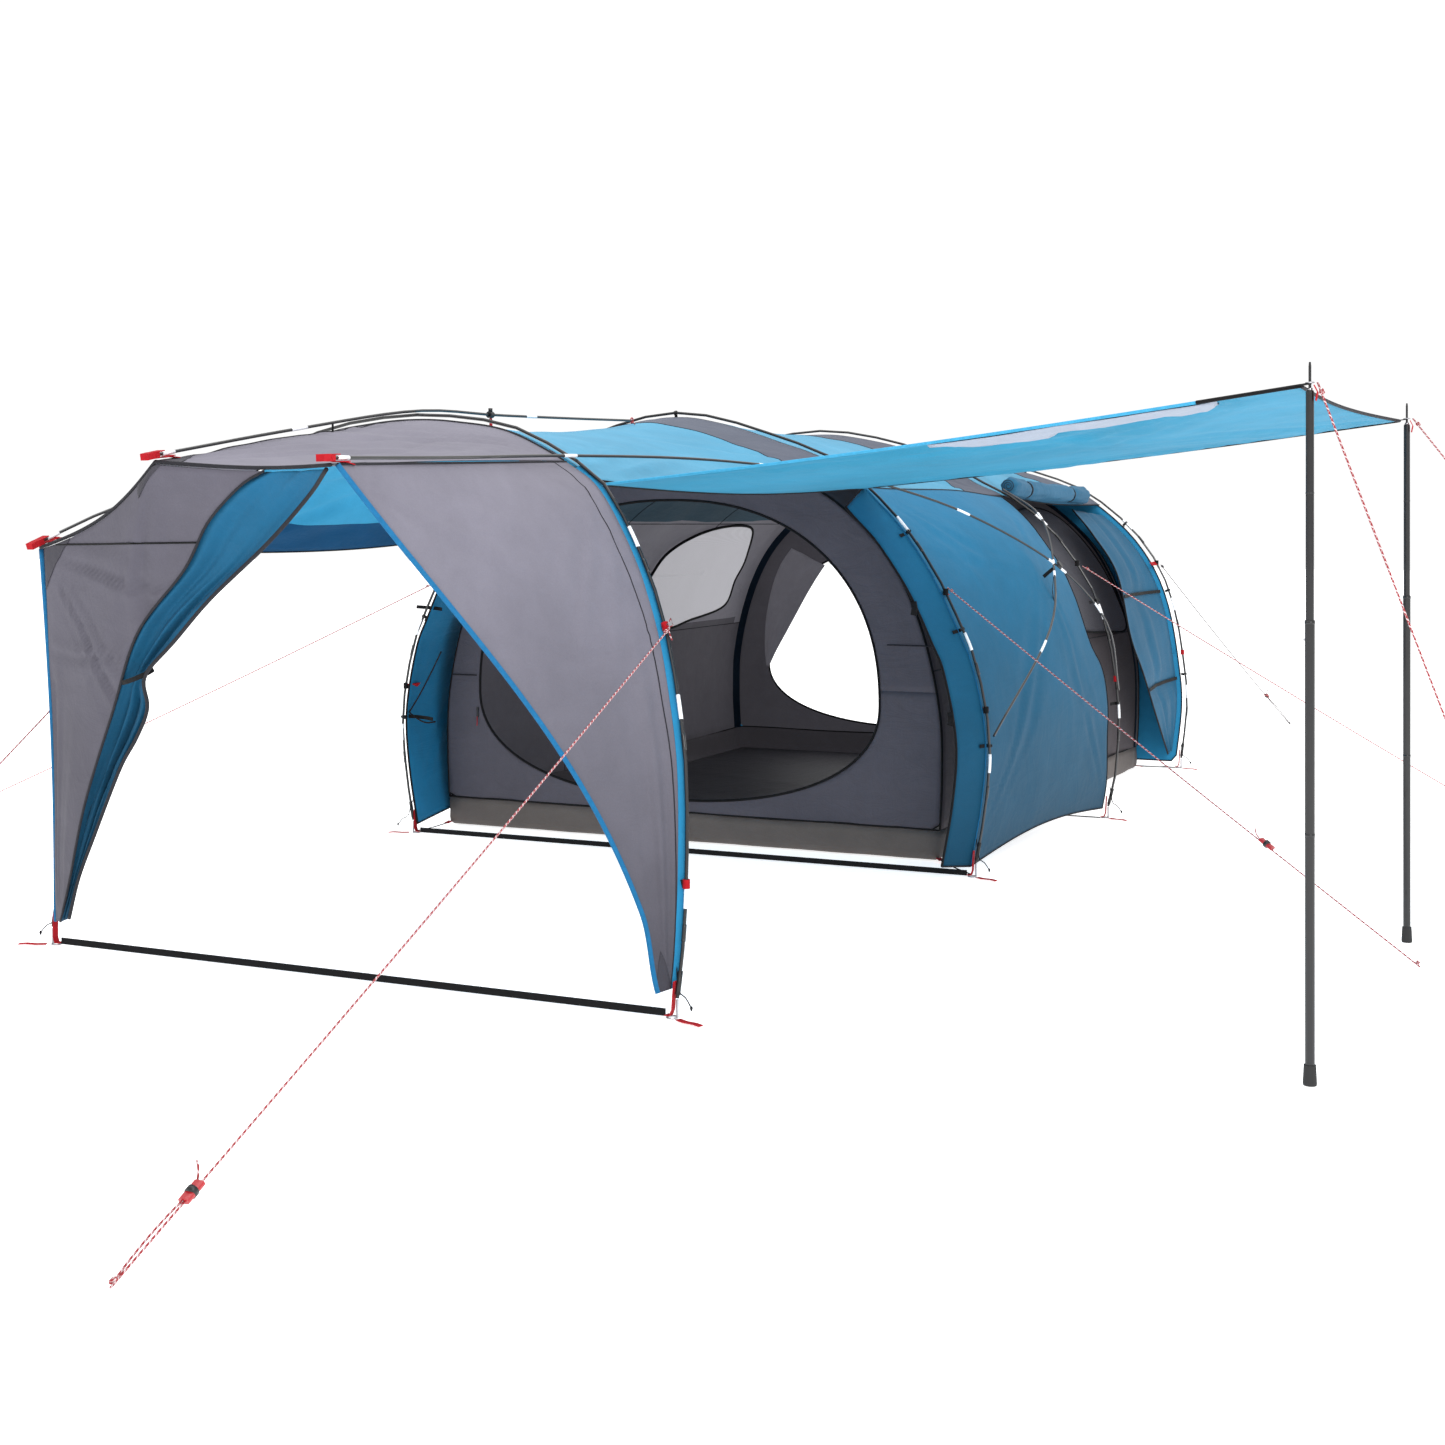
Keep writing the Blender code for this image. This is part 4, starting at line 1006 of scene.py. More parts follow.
BACK_WALL, PB = ring_shell("inner_rear_wall_cloth", out, inn, 14, lambda x, z: Y_IN1, ["inner", "inner", "piping"], seed=9.0, fine=0.006)
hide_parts("inner_rear_wall")
declare(BACK_WALL, "stretched")
trim(tube("inner_rear_door_piping", [PB[0][j % NA] for j in range(NA + 1)], 0.0065, "piping", sides=8))

ui = uz("i", 0.150)
NS, NJS = 60, 110


def f_shell(s, t):
    u = -ui + 2 * ui * t
    p = inner_at(u, s)
    n = Vector((p.x, 0, max(p.z - 0.8, 0.0) + 0.2)).normalized()
    return p - n * 0.030 * math.sin(math.pi * s) * min(1, abs(math.sin(2 * math.pi * s)) + 0.55)


P = wrinkle(grid(f_shell, NS, NJS), [((-1.2, 3.1, 1.2), (0, 1, -0.2), 1.6, 0.16, 0.010, 0.3),
                                     ((1.1, 3.1, 1.2), (0, 1, -0.2), 1.6, 0.16, 0.010, 0.3),
                                     ((-1.3, 6.8, 1.0), (0, -1, 0.1), 1.6, 0.16, 0.010, 0.3)], 0.008, 6.4)
SHELL_P = P


def mf_shell(i, j, side):
    z = P[i][j].z
    x = P[i][j].x
    if side:
        return 4
    # above the eave seam the shell takes the blue-green tint painted for light through the fly
    if z > 1.60:
        return 1
    if z > 0.90:
        return 3
    return 0


INNER = shell("inner_tent_shell_cloth", P, ["inner", "inner_painted_fly_light", "piping", "inner_light", "inner_side"], 0.0016, mf_shell)
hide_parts("inner_tent_shell")
declare(INNER, "stretched")
for e, i in (("front", 0), ("rear", NS)):
    trim(tube("inner_shell_edge_" + e, [P[i][j] for j in range(0, NJS + 1)], 0.0055, "piping", sides=6))
for q, name in ((0.33, "a"), (0.66, "b")):
    i = int(NS * q)
    trim(tube("inner_shell_hoop_seam_" + name, [P[i][j] - Vector((0, 0, 0.001)) for j in range(NJS + 1)], 0.0030, "bind_grey", sides=6))


def shell_seam(name, z, sg, mat="bind_grey", r=0.0032, i0=0, i1=NS, off=0.0):
    pts = []
    for i in range(i0, i1 + 1):
        js = range(0, NJS // 2) if sg < 0 else range(NJS // 2, NJS + 1)
        j = min(js, key=lambda q: abs(P[i][q].z - z))
        j2 = j + (1 if P[i][j].z > z else -1) * (1 if sg > 0 else -1)
        j2 = min(max(j2, 0), NJS)
        a, b = P[i][j], P[i][j2]
        f = 0 if abs(b.z - a.z) < 1e-6 else min(max((z - a.z) / (b.z - a.z), 0), 1)
        q = a.lerp(b, f)
        pts.append(q + Vector((sg * off, 0, 0)))
    return trim(tube(name, pts, r, mat, sides=6))


for sg, nm in ((-1, "left"), (1, "right")):
    shell_seam("inner_eave_seam_" + nm, 1.60, sg, "piping")
    shell_seam("inner_mid_seam_" + nm, 0.90, sg)

# the left wall's window of insect mesh, and the right wall's dark one, each laid on the wall cloth
def on_wall(pts, sg, off, name, mats, edge_r, ny=26):
    """A window of mesh following the inner wall: pts are (y, z) round its outline."""
    path = Path([(0, y, z) for y, z in pts] + [(0, pts[0][0], pts[0][1])], 96)
    c = Vector((0, sum(y for y, z in pts) / len(pts), sum(z for y, z in pts) / len(pts)))

    def place(y, z):
        t = (y - Y_IN0) / (Y_IN1 - Y_IN0)
        lo, hi = 0.0, ui
        for _ in range(26):
            m = (lo + hi) / 2
            if PROF["i"].at(m)[1] > z:
                lo = m
            else:
                hi = m
        s = min(max(t, 0), 1)
        q = f_shell(s, 0.5 + sg * lo / (2 * ui))
        return q + Vector((sg * off, 0, 0))
    R = []
    for i in range(13):
        r = i / 12
        R.append([place(c.y + (path.at(j / 96).y - c.y) * r, c.z + (path.at(j / 96).z - c.z) * r) for j in range(97)])
    ob = shell(name, R, mats, 0.0012)
    trim(tube(name + "_binding", [R[12][j] for j in range(97)], edge_r, "piping", sides=8))
    return ob, R


LW = [(5.02, 1.28), (5.08, 1.43), (5.28, 1.545), (5.62, 1.600), (6.04, 1.590), (6.26, 1.500), (6.40, 1.350),
      (6.38, 1.220), (6.34, 1.040), (5.80, 0.965), (5.52, 0.930), (5.28, 0.975)]
WIN_L_IN, _ = on_wall(LW, -1, -0.024, "left_window_mesh_inside", ["net_painted_lit", "net_painted_lit", "piping"], 0.009)
WIN_L_OUT, _ = on_wall(LW, -1, 0.024, "left_window_mesh_outside", ["net_dark", "net_dark", "piping"], 0.007)
RW = [(5.40, 1.640), (5.95, 1.700), (6.55, 1.680), (6.62, 1.400), (6.66, 1.150), (6.66, 0.930), (6.30, 0.925),
      (5.80, 0.955), (5.55, 1.020), (5.36, 1.250)]
WIN_R_OUT, _ = on_wall(RW, 1, 0.024, "right_window_mesh_outside", ["net_dark", "net_dark", "piping"], 0.007)
WIN_R_IN, _ = on_wall(RW, 1, -0.024, "right_window_mesh_inside", ["net_painted_lit", "net_painted_lit", "piping"], 0.007)
for ob in (WIN_L_IN, WIN_L_OUT, WIN_R_OUT, WIN_R_IN):
    declare(ob, "stretched")

# seams on the inner front wall
for x0, z0, x1, z1, nm in ((0.98, 1.02, 1.24, 1.02, "right"), (-1.46, 0.80, -1.31, 0.80, "left")):
    trim(tube("front_wall_seam_" + nm, [Vector((x0 + (x1 - x0) * i / 8, Y_IN0 - 0.004, z0 + (z1 - z0) * i / 8)) for i in range(9)],
              0.0030, "bind_grey", sides=6))

# bath-tub groundsheet
TH = 0.150


def tub_corner(k):
    fl, fr = X_IN0 - 1.357, X_IN0 + 1.357
    bl, br = X_IN1 - 1.357 * WIDER, X_IN1 + 1.357 * WIDER
    y0, y1 = Y_IN0 - 0.001, Y_IN1 + 0.001
    return [(fl, y0), (fr, y0), (br, y1), (bl, y1)][k % 4]


def tub_ring(z, inset):
    pts = []
    for k in range(4):
        a, b = tub_corner(k), tub_corner(k + 1)
        for i in range(30):
            t = i / 30
            x, y = a[0] + (b[0] - a[0]) * t, a[1] + (b[1] - a[1]) * t
            cxm, cym = -0.075, (Y_IN0 + Y_IN1) / 2
            sx, sy = (1 if x > cxm else -1), (1 if y > cym else -1)
            ex = min(abs(x - cxm) / 1.357, 1)
            q = Vector((x - sx * inset * (ex > 0.9), y - sy * inset * (abs(y - cym) > 1.88), z))
            w = 0.006 * fn3(Vector((x * 3, y * 3, z * 9)), 2.2, 5.0) + 0.004 * math.sin(x * 17 + y * 13 + z * 40)
            if k % 2 == 0:
                q.y += w * (1 if k == 2 else -1) * 0.8
            else:
                q.x += w * (1 if k == 1 else -1) * 0.8
            zz = q.z
            if 0.01 < z < TH:
                pass
            q.z = zz + (0.003 * math.sin(x * 6 + y * 5) if z > 0.05 else 0.0)
            pts.append(q)
    return pts + [pts[0]]


TUB_P = [tub_ring(z, ins) for z, ins in ((0.0055, 0.050), (0.0060, 0.018), (0.018, 0.004), (0.045, 0.0), (0.080, 0.0),
                                         (0.115, 0.001), (0.150, 0.002))]
TUB = shell("tub_wall_cloth", TUB_P, ["tub_in", "tub", "bind_grey"], 0.0018)
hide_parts("tub_groundsheet")
declare(TUB, "stretched")
trim(tube("tub_top_seam", TUB_P[6], 0.0040, "piping", sides=6))


def f_floor(s, t):
    a, b, c, d = [tub_corner(k) for k in range(4)]
    x = (a[0] * (1 - t) + b[0] * t) * (1 - s) + (d[0] * (1 - t) + c[0] * t) * s
    y = a[1] * (1 - s) + d[1] * s
    m = 0.045
    x = x + m * (1 - 2 * t)
    y = y + m * (1 - 2 * s)
    p = Vector((x, y, 0.0068))
    e = min(t, 1 - t, s, 1 - s)
    p.z += 0.006 * max(0, fn3(p, 1.7, 3.0) + 0.35 * fn3(p, 5.5, 1.0)) * sm(e, 0, 0.08)
    p.z += 0.004 * max(0, math.cos((x * 0.4 + y) * 7.5)) ** 8 * sm(e, 0, 0.08)
    return p


FLOOR_P = grid(f_floor, 70, 56)
FLOOR = shell("groundsheet_floor_cloth", FLOOR_P, ["tub", "floor_in", "tub"], 0.0012)
declare(FLOOR, "laid", ("tub_wall_cloth",))

# ====================================================================== porch
DROP = 0.020
uR, uL = uz("a", 1.830), uz("a", 1.800)
ueA = uz("a", 0.095)
FOOT_R, FOOT_L = Vector((1.288, 0.0, 0.095)), Vector((-1.288, 0.0, 0.095))


def hem(k):
    low = Vector((0, 0, -DROP))
    if k < 0.5:
        t = k * 2
        return TIP_LEFT.lerp(TIP_MID, t) + low + Vector((0.02, 0.02, -0.030)) * math.sin(math.pi * t)
    t = k * 2 - 1
    return TIP_MID.lerp(TIP_RIGHT, t) + low + Vector((0, 0.05, -0.012)) * math.sin(math.pi * t)


uPR, uPL = uR - 0.012, uL - 0.012
NR = 80


def f_porch(s, t):
    back = arch("a", -uPL + (uPL + uPR) * t, INSET, -0.012)
    p = hem(t).lerp(back, s)
    sc = math.sin(math.pi * s)
    # two shallow troughs between the three poles
    p.z += -0.030 * sc * abs(math.sin(2 * math.pi * t)) ** 1.2 + 0.006 * sc
    return p


P = wrinkle(grid(f_porch, 48, NR),
            [((-0.02, -0.90, 1.80), (0.35, 1, 0.1), 1.2, 0.13, 0.010, 0.20),
             ((-0.02, -0.90, 1.80), (-0.35, 1, 0.1), 1.2, 0.13, 0.010, 0.20),
             ((0.68, -0.95, 1.77), (-0.25, 1, 0.0), 1.3, 0.12, 0.010, 0.20),
             ((-0.78, -0.55, 1.52), (0.2, 1, 0.3), 1.0, 0.12, 0.010, 0.22),
             ((0.62, 0.42, 1.84), (-0.8, -0.5, 0.0), 0.9, 0.12, 0.010, 0.22)], 0.007, 1.9)


def mf_porch(i, j, side):
    return 0 if side else 1


PORCH = shell("porch_roof_cloth", P, ["grey", "grey_in", "bind_grey", "grey_dark"], 0.0016, mf_porch)
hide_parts("porch_roof")
declare(PORCH, "stretched")
trim(tube("porch_hem_binding", [P[0][j] for j in range(NR + 1)], 0.0060, "bind_grey", sides=6))
trim(tube("porch_back_edge", [P[48][j] for j in range(NR + 1)], 0.0060, "bind_grey", sides=6))
trim(tube("porch_ridge_seam", [P[i][NR // 2] + Vector((0, 0, 0.001)) for i in range(49)], 0.0028, "bind_grey", sides=6))
PORCH_P = P


def patch_on(name, G, corners, off, mat="grey_dark"):
    """A sewn-on triangle: corners are (row, column) places on a grid of points, off lifts it clear."""
    def at(r, c):
        i, j = min(int(r), len(G) - 2), min(int(c), len(G[0]) - 2)
        return G[i][j].lerp(G[i + 1][j], r - i).lerp(G[i][j + 1].lerp(G[i + 1][j + 1], r - i), c - j)
    (r0, c0), (r1, c1), (r2, c2) = corners
    rows = []
    for i in range(13):
        a = i / 12
        row = []
        for j in range(9):
            b = j / 8
            ra, ca = r0 + (r1 - r0) * a, c0 + (c1 - c0) * a
            rb, cb = r0 + (r2 - r0) * a, c0 + (c2 - c0) * a
            row.append(at(ra + (rb - ra) * b, ca + (cb - ca) * b) + Vector(off))
        rows.append(row)
    rows[0] = [rows[0][0] + (rows[1][j] - rows[0][0]) * 0.02 for j in range(9)]
    return trim(shell(name, rows, [mat, mat, mat], 0.0012))


patch_on("porch_patch_left", P, ((0, 0), (7, 0), (0, 7)), (0, 0, 0.0030))
patch_on("porch_patch_middle_a", P, ((0, 40), (6, 40), (0, 35)), (0, 0, 0.0030))
patch_on("porch_patch_middle_b", P, ((0, 40), (6, 40), (0, 45)), (0, 0, 0.0030))
patch_on("porch_patch_right", P, ((0, 80), (6, 80), (0, 74)), (0, 0, 0.0030))


def edge_right(t):
    p = (TIP_RIGHT + Vector((0.008, 0.02, -DROP + 0.002))).lerp(FOOT_R, t)
    return p + Vector((0.0, 0.30, 0.03)) * (math.sin(math.pi * t) ** 1.0) * (0.35 + 0.65 * t)


NWR = 90


def f_wing_r(s, t):
    b = arch("a", (uR - 0.008) + (ueA - uR + 0.008) * s, INSET - 0.001, -0.010)
    f = edge_right(s)
    f = f + Vector((-0.006, -0.055, 0)) * sm(s, 0.86, 1.0)
    p = f.lerp(b, t)
    p.x -= 0.022 * math.sin(math.pi * t) * math.sin(math.pi * s)
    return p


P = wrinkle(grid(f_wing_r, NWR, 44),
            [((0.72, -0.95, 1.75), (0.25, 0.45, -0.9), 1.1, 0.11, 0.008, 0.15),
             ((0.72, -0.95, 1.75), (0.15, 0.9, -0.35), 1.1, 0.12, 0.008, 0.18),
             ((0.72, 0.44, 1.80), (0.25, -0.6, -0.8), 1.0, 0.12, 0.007, 0.20),
             ((1.13, 0.31, 1.25), (-0.1, -0.9, -0.2), 0.8, 0.10, 0.008, 0.14),
             ((1.28, 0.0, 0.12), (-0.05, 0.10, 1.0), 1.2, 0.10, 0.010, 0.10)], 0.005, 2.7)
WING_R_P = P


def mf_wing_r(i, j, side):
    return side


WING_R = shell("porch_wing_right_cloth", P, ["grey", "grey_in", "bind_blue", "grey_dark"], 0.0016, mf_wing_r)
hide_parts("porch_wing_right")
declare(WING_R, "stretched")
patch_on("wing_right_patch_foot", P, ((89.9, 0), (89.9, 43.9), (84, 20)), (0.0, -0.0030, 0))
trim(tube("wing_right_front_binding", [P[i][0] for i in range(NWR + 1)], 0.0085, "bind_blue", sides=8))
trim(ribbon("wing_right_rear_lining", [P[i][44] + Vector((0.004, 0.006, 0)) for i in range(2, NWR + 1)], 0.030, 0.0016, "blue_in",
            up=lambda i, p: (0.9, -0.45, 0.1)))
trim(tube("wing_right_top_seam", [P[0][j] for j in range(45)], 0.0045, "bind_grey", sides=6))
for t0, nm in ((7, "a"),):
    trim(tube("wing_right_side_seam_" + nm, [P[i][44 - 3] + Vector((0.0012, -0.0005, 0)) for i in range(NWR + 1)], 0.0022, "bind_grey", sides=6))

ZIP = Path([hem(0.79) + Vector((0, 0, -0.008)), (0.300, -0.90, 1.715), (0.125, -0.835, 1.605),
            (-0.035, -0.755, 1.455), (-0.315, -0.65, 1.245), (-0.555, -0.50, 0.965),
            (-0.845, -0.32, 0.610), (-1.065, -0.16, 0.300), (-1.205, -0.06, 0.110)])
FREE = Path([hem(0.985) + Vector((0, 0, -0.012)), (0.530, -0.880, 1.680), (0.320, -0.800, 1.540),
             (0.015, -0.705, 1.355), (-0.215, -0.620, 1.190), (-0.330, -0.575, 1.095), (-0.385, -0.515, 0.990),
             (-0.500, -0.450, 0.870), (-0.630, -0.385, 0.750), (-0.870, -0.250, 0.480), (-1.030, -0.155, 0.300), (-1.150, -0.075, 0.130)])
uLW = uL + 0.012


def edge_left(t):
    a = TIP_LEFT + Vector((-0.012, 0.015, -DROP - 0.006))
    return a.lerp(FOOT_L, t) + Vector((0.0, 0.02, 0.0)) * math.sin(math.pi * t)


# left wing: a front sheet from the zip to the left edge, and a side sheet from that edge to the arch
NL = 80


def top_left(t):
    return hem(0.79 - (0.79 - 0.02) * t) + Vector((0, -0.004, -0.010))


def f_wing_l(s, t):
    """s from the hem down to the foot, t from the zip to the left edge."""
    z, e = ZIP.at(s), edge_left(s)
    p = z.lerp(e, t)
    k = sm(1 - s, 0.0, 1.0)
    h = top_left(t)
    base0 = ZIP.at(0).lerp(edge_left(0), t)
    fade = max(0.0, 1 - s / 0.42) ** 1.5
    p = p + (h - base0) * fade
    p.y -= 0.020 * math.sin(math.pi * t) * math.sin(math.pi * s)
    return p


PL = wrinkle(grid(f_wing_l, NL, 70),
             [((-0.80, -0.58, 1.50), (0.9, -0.1, -0.1), 1.1, 0.12, 0.009, 0.16),
              ((-0.80, -0.58, 1.50), (0.45, -0.1, -0.9), 1.2, 0.12, 0.009, 0.16),
              ((0.0, -0.93, 1.78), (-0.5, 0.1, -0.85), 0.9, 0.11, 0.009, 0.14),
              ((-1.25, -0.05, 0.13), (0.3, -0.3, 0.9), 1.2, 0.10, 0.009, 0.12),
              ((-0.33, -0.62, 1.16), (-0.9, 0.05, -0.1), 0.8, 0.09, 0.008, 0.10)], 0.006, 3.6)


def mf_wing_l(i, j, side):
    return 0 if side else 1


WING_L = shell("porch_wing_left_front_cloth", PL, ["grey_left", "grey_in", "bind_grey", "grey_dark"], 0.0016, mf_wing_l)
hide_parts("porch_wing_left")
declare(WING_L, "stretched")


def f_wing_ls(s, t):
    e = edge_left(s)
    b = arch("a", -(uLW + (ueA - uLW) * s), INSET, -0.012)
    p = e.lerp(b, t)
    if s < 0.08:
        top = Vector((TIP_LEFT.x - 0.012, TIP_LEFT.y + 0.015, TIP_LEFT.z - DROP - 0.006))
    p.x += 0.020 * math.sin(math.pi * t) * math.sin(math.pi * s)
    return p


PS = wrinkle(grid(f_wing_ls, NL, 30), [((-0.80, -0.55, 1.50), (-0.3, 0.6, -0.7), 1.1, 0.12, 0.009, 0.18)], 0.006, 4.4)
WING_LS = shell("porch_wing_left_side_cloth", PS, ["grey_in", "grey", "bind_grey"], 0.0016)
declare(WING_LS, "stretched")
trim(tube("wing_left_edge_binding", [edge_left(i / 40) for i in range(41)], 0.0075, "bind_blue", sides=8))
trim(tube("wing_left_zip", [PL[i][0] + Vector((0, -0.002, 0)) for i in range(NL + 1)], 0.0045, "bind_grey", sides=6))
patch_on("wing_left_patch_tip", PL, ((0, 69.9), (8, 69.9), (0, 61)), (0, -0.0034, 0.0))
patch_on("wing_left_patch_middle", PL, ((0, 25), (5, 27), (0, 34)), (0, -0.0034, 0.0))
# the level seam from the left tip across to the zip
seam = []
for j in range(71):
    col = [PL[i][j] for i in range(NL + 1)]
    zt = 1.530 + 0.012 * (1 - j / 70)
    for a, b in zip(col, col[1:]):
        if a.z >= zt >= b.z and a.z > b.z:
            seam.append(a.lerp(b, (a.z - zt) / (a.z - b.z)) + Vector((0, -0.0026, 0)))
            break
if len(seam) > 4:
    trim(tube("wing_left_level_seam", seam, 0.0032, "piping", sides=6))

# the blue porch door, gathered along its zip and held by a toggle
ND = 110


def f_door(s, t):
    z, e = ZIP.at(s), FREE.at(s)
    if s < 0.10:
        h = hem(0.798 + (0.985 - 0.798) * t) + Vector((0, 0, -0.012))
        base = ZIP.at(0).lerp(FREE.at(0), t)
        z = z + (Vector((0, 0, 0)))
        d = (h - base) * (1 - s / 0.10)
    else:
        d = Vector()
    v = e - z
    w = v.length
    p = (z - v.normalized() * 0.022).lerp(e, t) + d
    p.y += 0.012 * max(0.0, 1 - t * 6)
    out_dir = Vector((-0.05, 1.0, 0.15)).normalized()
    # cloth gathered into long folds which are deepest at the toggle
    tog = bump(s, 0.480, 0.05)
    low = sm(s, 0.55, 1.0)
    amp = (0.008 + 0.024 * sm(s, 0.10, 0.55) - 0.008 * low) * (1 - 0.6 * tog)
    amp *= min(1.0, w / 0.20)
    nf = 2.2 + 1.2 * sm(s, 0.2, 0.6)
    ph = 1.4 * math.sin(3.1 * s) + 0.8 * math.sin(7.3 * s + 1)
    env = math.sin(math.pi * min(max(t, 0), 1)) ** 0.7
    f = math.cos(2 * math.pi * nf * t + ph) * 0.7 + math.cos(2 * math.pi * nf * 1.7 * t - ph * 1.5 + 1) * 0.3
    p += out_dir * (amp * f * env + (0.045 * math.sin(math.pi * s)) * math.sin(math.pi * t))
    # pinched at the toggle
    p = p.lerp(z + (p - z) * 0.80, tog)
    return p


PD = wrinkle(grid(f_door, ND, 46), [], 0.005, 5.5)
DOOR = shell("porch_door_cloth", PD, ["blue_door", "blue_door", "bind_grey"], 0.0018)
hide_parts("porch_door")
declare(DOOR, "gathered", (), (), 1.18)
trim(tube("porch_door_free_binding", [PD[i][46] for i in range(ND + 1)], 0.0065, "bind_grey", sides=8))
# toggle strap round the gathered door
k = int(ND * 0.480)
row = PD[k]
c = sum(row, Vector()) / len(row)
dirs = (ZIP.at(0.54) - ZIP.at(0.43)).normalized()
a_, b_ = row[0], row[-1]
ax = (b_ - a_).normalized()
nn = dirs.cross(ax).normalized()
hw = (b_ - a_).length * 0.5 + 0.004
ringp = [c + ax * hw * math.cos(2 * math.pi * i / 28) + nn * 0.036 * math.sin(2 * math.pi * i / 28) for i in range(29)]
trim(ribbon("porch_door_toggle_strap", ringp, 0.016, 0.003, "web_black", up=lambda i, p: (Vector(p) - c)))
trim(tube("porch_door_toggle", [a_ - ax * 0.015 + dirs * 0.0 + nn * -0.01, a_ - ax * 0.015 - dirs * 0.045 + nn * -0.012], 0.0065, "plastic", sides=10))

# ====================================================================== awning
uaR, ubR = uz("a", 1.775), uz("b", 1.800)
a0 = arch("a", uaR + 0.010, INSET, 0.045)
a1 = arch("b", ubR + 0.008, INSET, -0.014)
p1 = POLE_1 + Vector((-0.026, 0.006, CANOPY_Z))
p2 = POLE_2 + Vector((-0.026, -0.006, CANOPY_Z))


def f_awn(s, t):
    """s from the near edge to the far edge, t from the tent out to the poles."""
    near = a0.lerp(p1, t) + Vector((0, 0.055, -0.010)) * math.sin(math.pi * t)
    far = a1.lerp(p2, t) + Vector((0, -0.10, -0.020)) * math.sin(math.pi * t)
    p = near.lerp(far, s)
    p += Vector((-0.04 * math.sin(math.pi * s) * t ** 3, 0, -0.03 * math.sin(math.pi * s) * (1 - 0.8 * t ** 4)))
    return p


NS2, NT2 = 60, 80
PA = wrinkle(grid(f_awn, NS2, NT2),
             [((3.245, 0.116, 1.995), (-1, 0.12, -0.06), 2.4, 0.17, 0.016, 0.30),
              ((3.245, 0.116, 1.995), (-0.8, 0.75, -0.05), 1.7, 0.17, 0.012, 0.30),
              ((3.360, 2.157, 1.995), (-1, -0.10, -0.06), 2.4, 0.17, 0.014, 0.30),
              ((3.360, 2.157, 1.995), (-0.7, -0.8, -0.05), 1.5, 0.16, 0.012, 0.28),
              ((0.80, 0.50, 1.76), (1, 0.10, 0.08), 2.0, 0.15, 0.012, 0.26),
              ((0.98, 2.70, 1.79), (1, -0.15, 0.06), 2.0, 0.15, 0.012, 0.26)], 0.008, 6.8, edge=0.03)
AWN = shell("awning_canopy_cloth", PA, ["awning", "grey", "bind_grey", "grey_dark"], 0.0018,
            lambda i, j, side: side)
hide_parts("awning_canopy")
declare(AWN, "stretched")
trim(tube("awning_near_binding", [PA[0][j] for j in range(70, NT2 + 1)], 0.0060, "piping", sides=6))
trim(tube("awning_near_hem", [PA[0][j] for j in range(0, 71)], 0.0050, "bind_sky", sides=6))
trim(tube("awning_far_binding", [PA[NS2][j] for j in range(NT2 + 1)], 0.0060, "piping", sides=6))
trim(tube("awning_outer_binding", [PA[i][NT2] for i in range(NS2 + 1)], 0.0060, "bind_grey", sides=6))
trim(tube("awning_inner_seam", [PA[i][0] for i in range(NS2 + 1)], 0.0060, "piping", sides=6))
# the near edge's hem is turned under and shows its grey side
fl = []
for i in range(9):
    s = 0.012 + 0.11 * i / 8
    row = []
    for j in range(41, 73):
        t = j / NT2
        q = (j - 41) / 31
        w = s * (0.15 + 0.85 * math.sin(math.pi * q) ** 0.5) * (1 + 0.22 * math.sin(q * 9.0) + 0.12 * math.sin(q * 21.0 + 1))
        r = min(w, 0.30) * NS2
        a = int(r)
        p = PA[a][j].lerp(PA[a + 1][j], r - a)
        row.append(p + Vector((0, 0, -0.0045 - 0.006 * math.sin(math.pi * i / 8) * (1 + 0.6 * math.sin(q * 26)))))
    fl.append(row)
FLAP = shell("awning_turned_hem", fl, ["awning_grey", "awning_grey", "awning_grey"], 0.0014)
declare(FLAP, "stretched", ())

# corner patches and eyelets at the poles
for k, (pole, corner) in enumerate(((POLE_1, PA[0][NT2]), (POLE_2, PA[NS2][NT2])), 1):
    tip = pole + Vector((0, 0, CANOPY_Z + 0.002))
    d = (corner - tip)
    trim(ribbon("awning_corner_web_%d" % k, [tip + Vector((0, 0, 0.004)), tip.lerp(corner, 0.5) + Vector((0, 0, 0.003)), corner + d.normalized() * 0.05],
                0.030, 0.003, "web_black", up=(0, 0, 1)))
    ring = [tip + Vector((math.cos(a) * 0.011, math.sin(a) * 0.011, 0.006)) for a in [2 * math.pi * i / 20 for i in range(21)]]
    trim(tube("awning_eyelet_%d" % k, ring, 0.0024, "steel", sides=8))
    red = ribbon("awning_pole_red_tab_%d" % k, [tip + Vector((0.012, 0.0, -0.002)), tip + Vector((0.022, -0.002, -0.022)), tip + Vector((0.017, -0.004, -0.046))],
                 0.022, 0.003, "web_red", up=(1, 0, 0))
    trim(red)

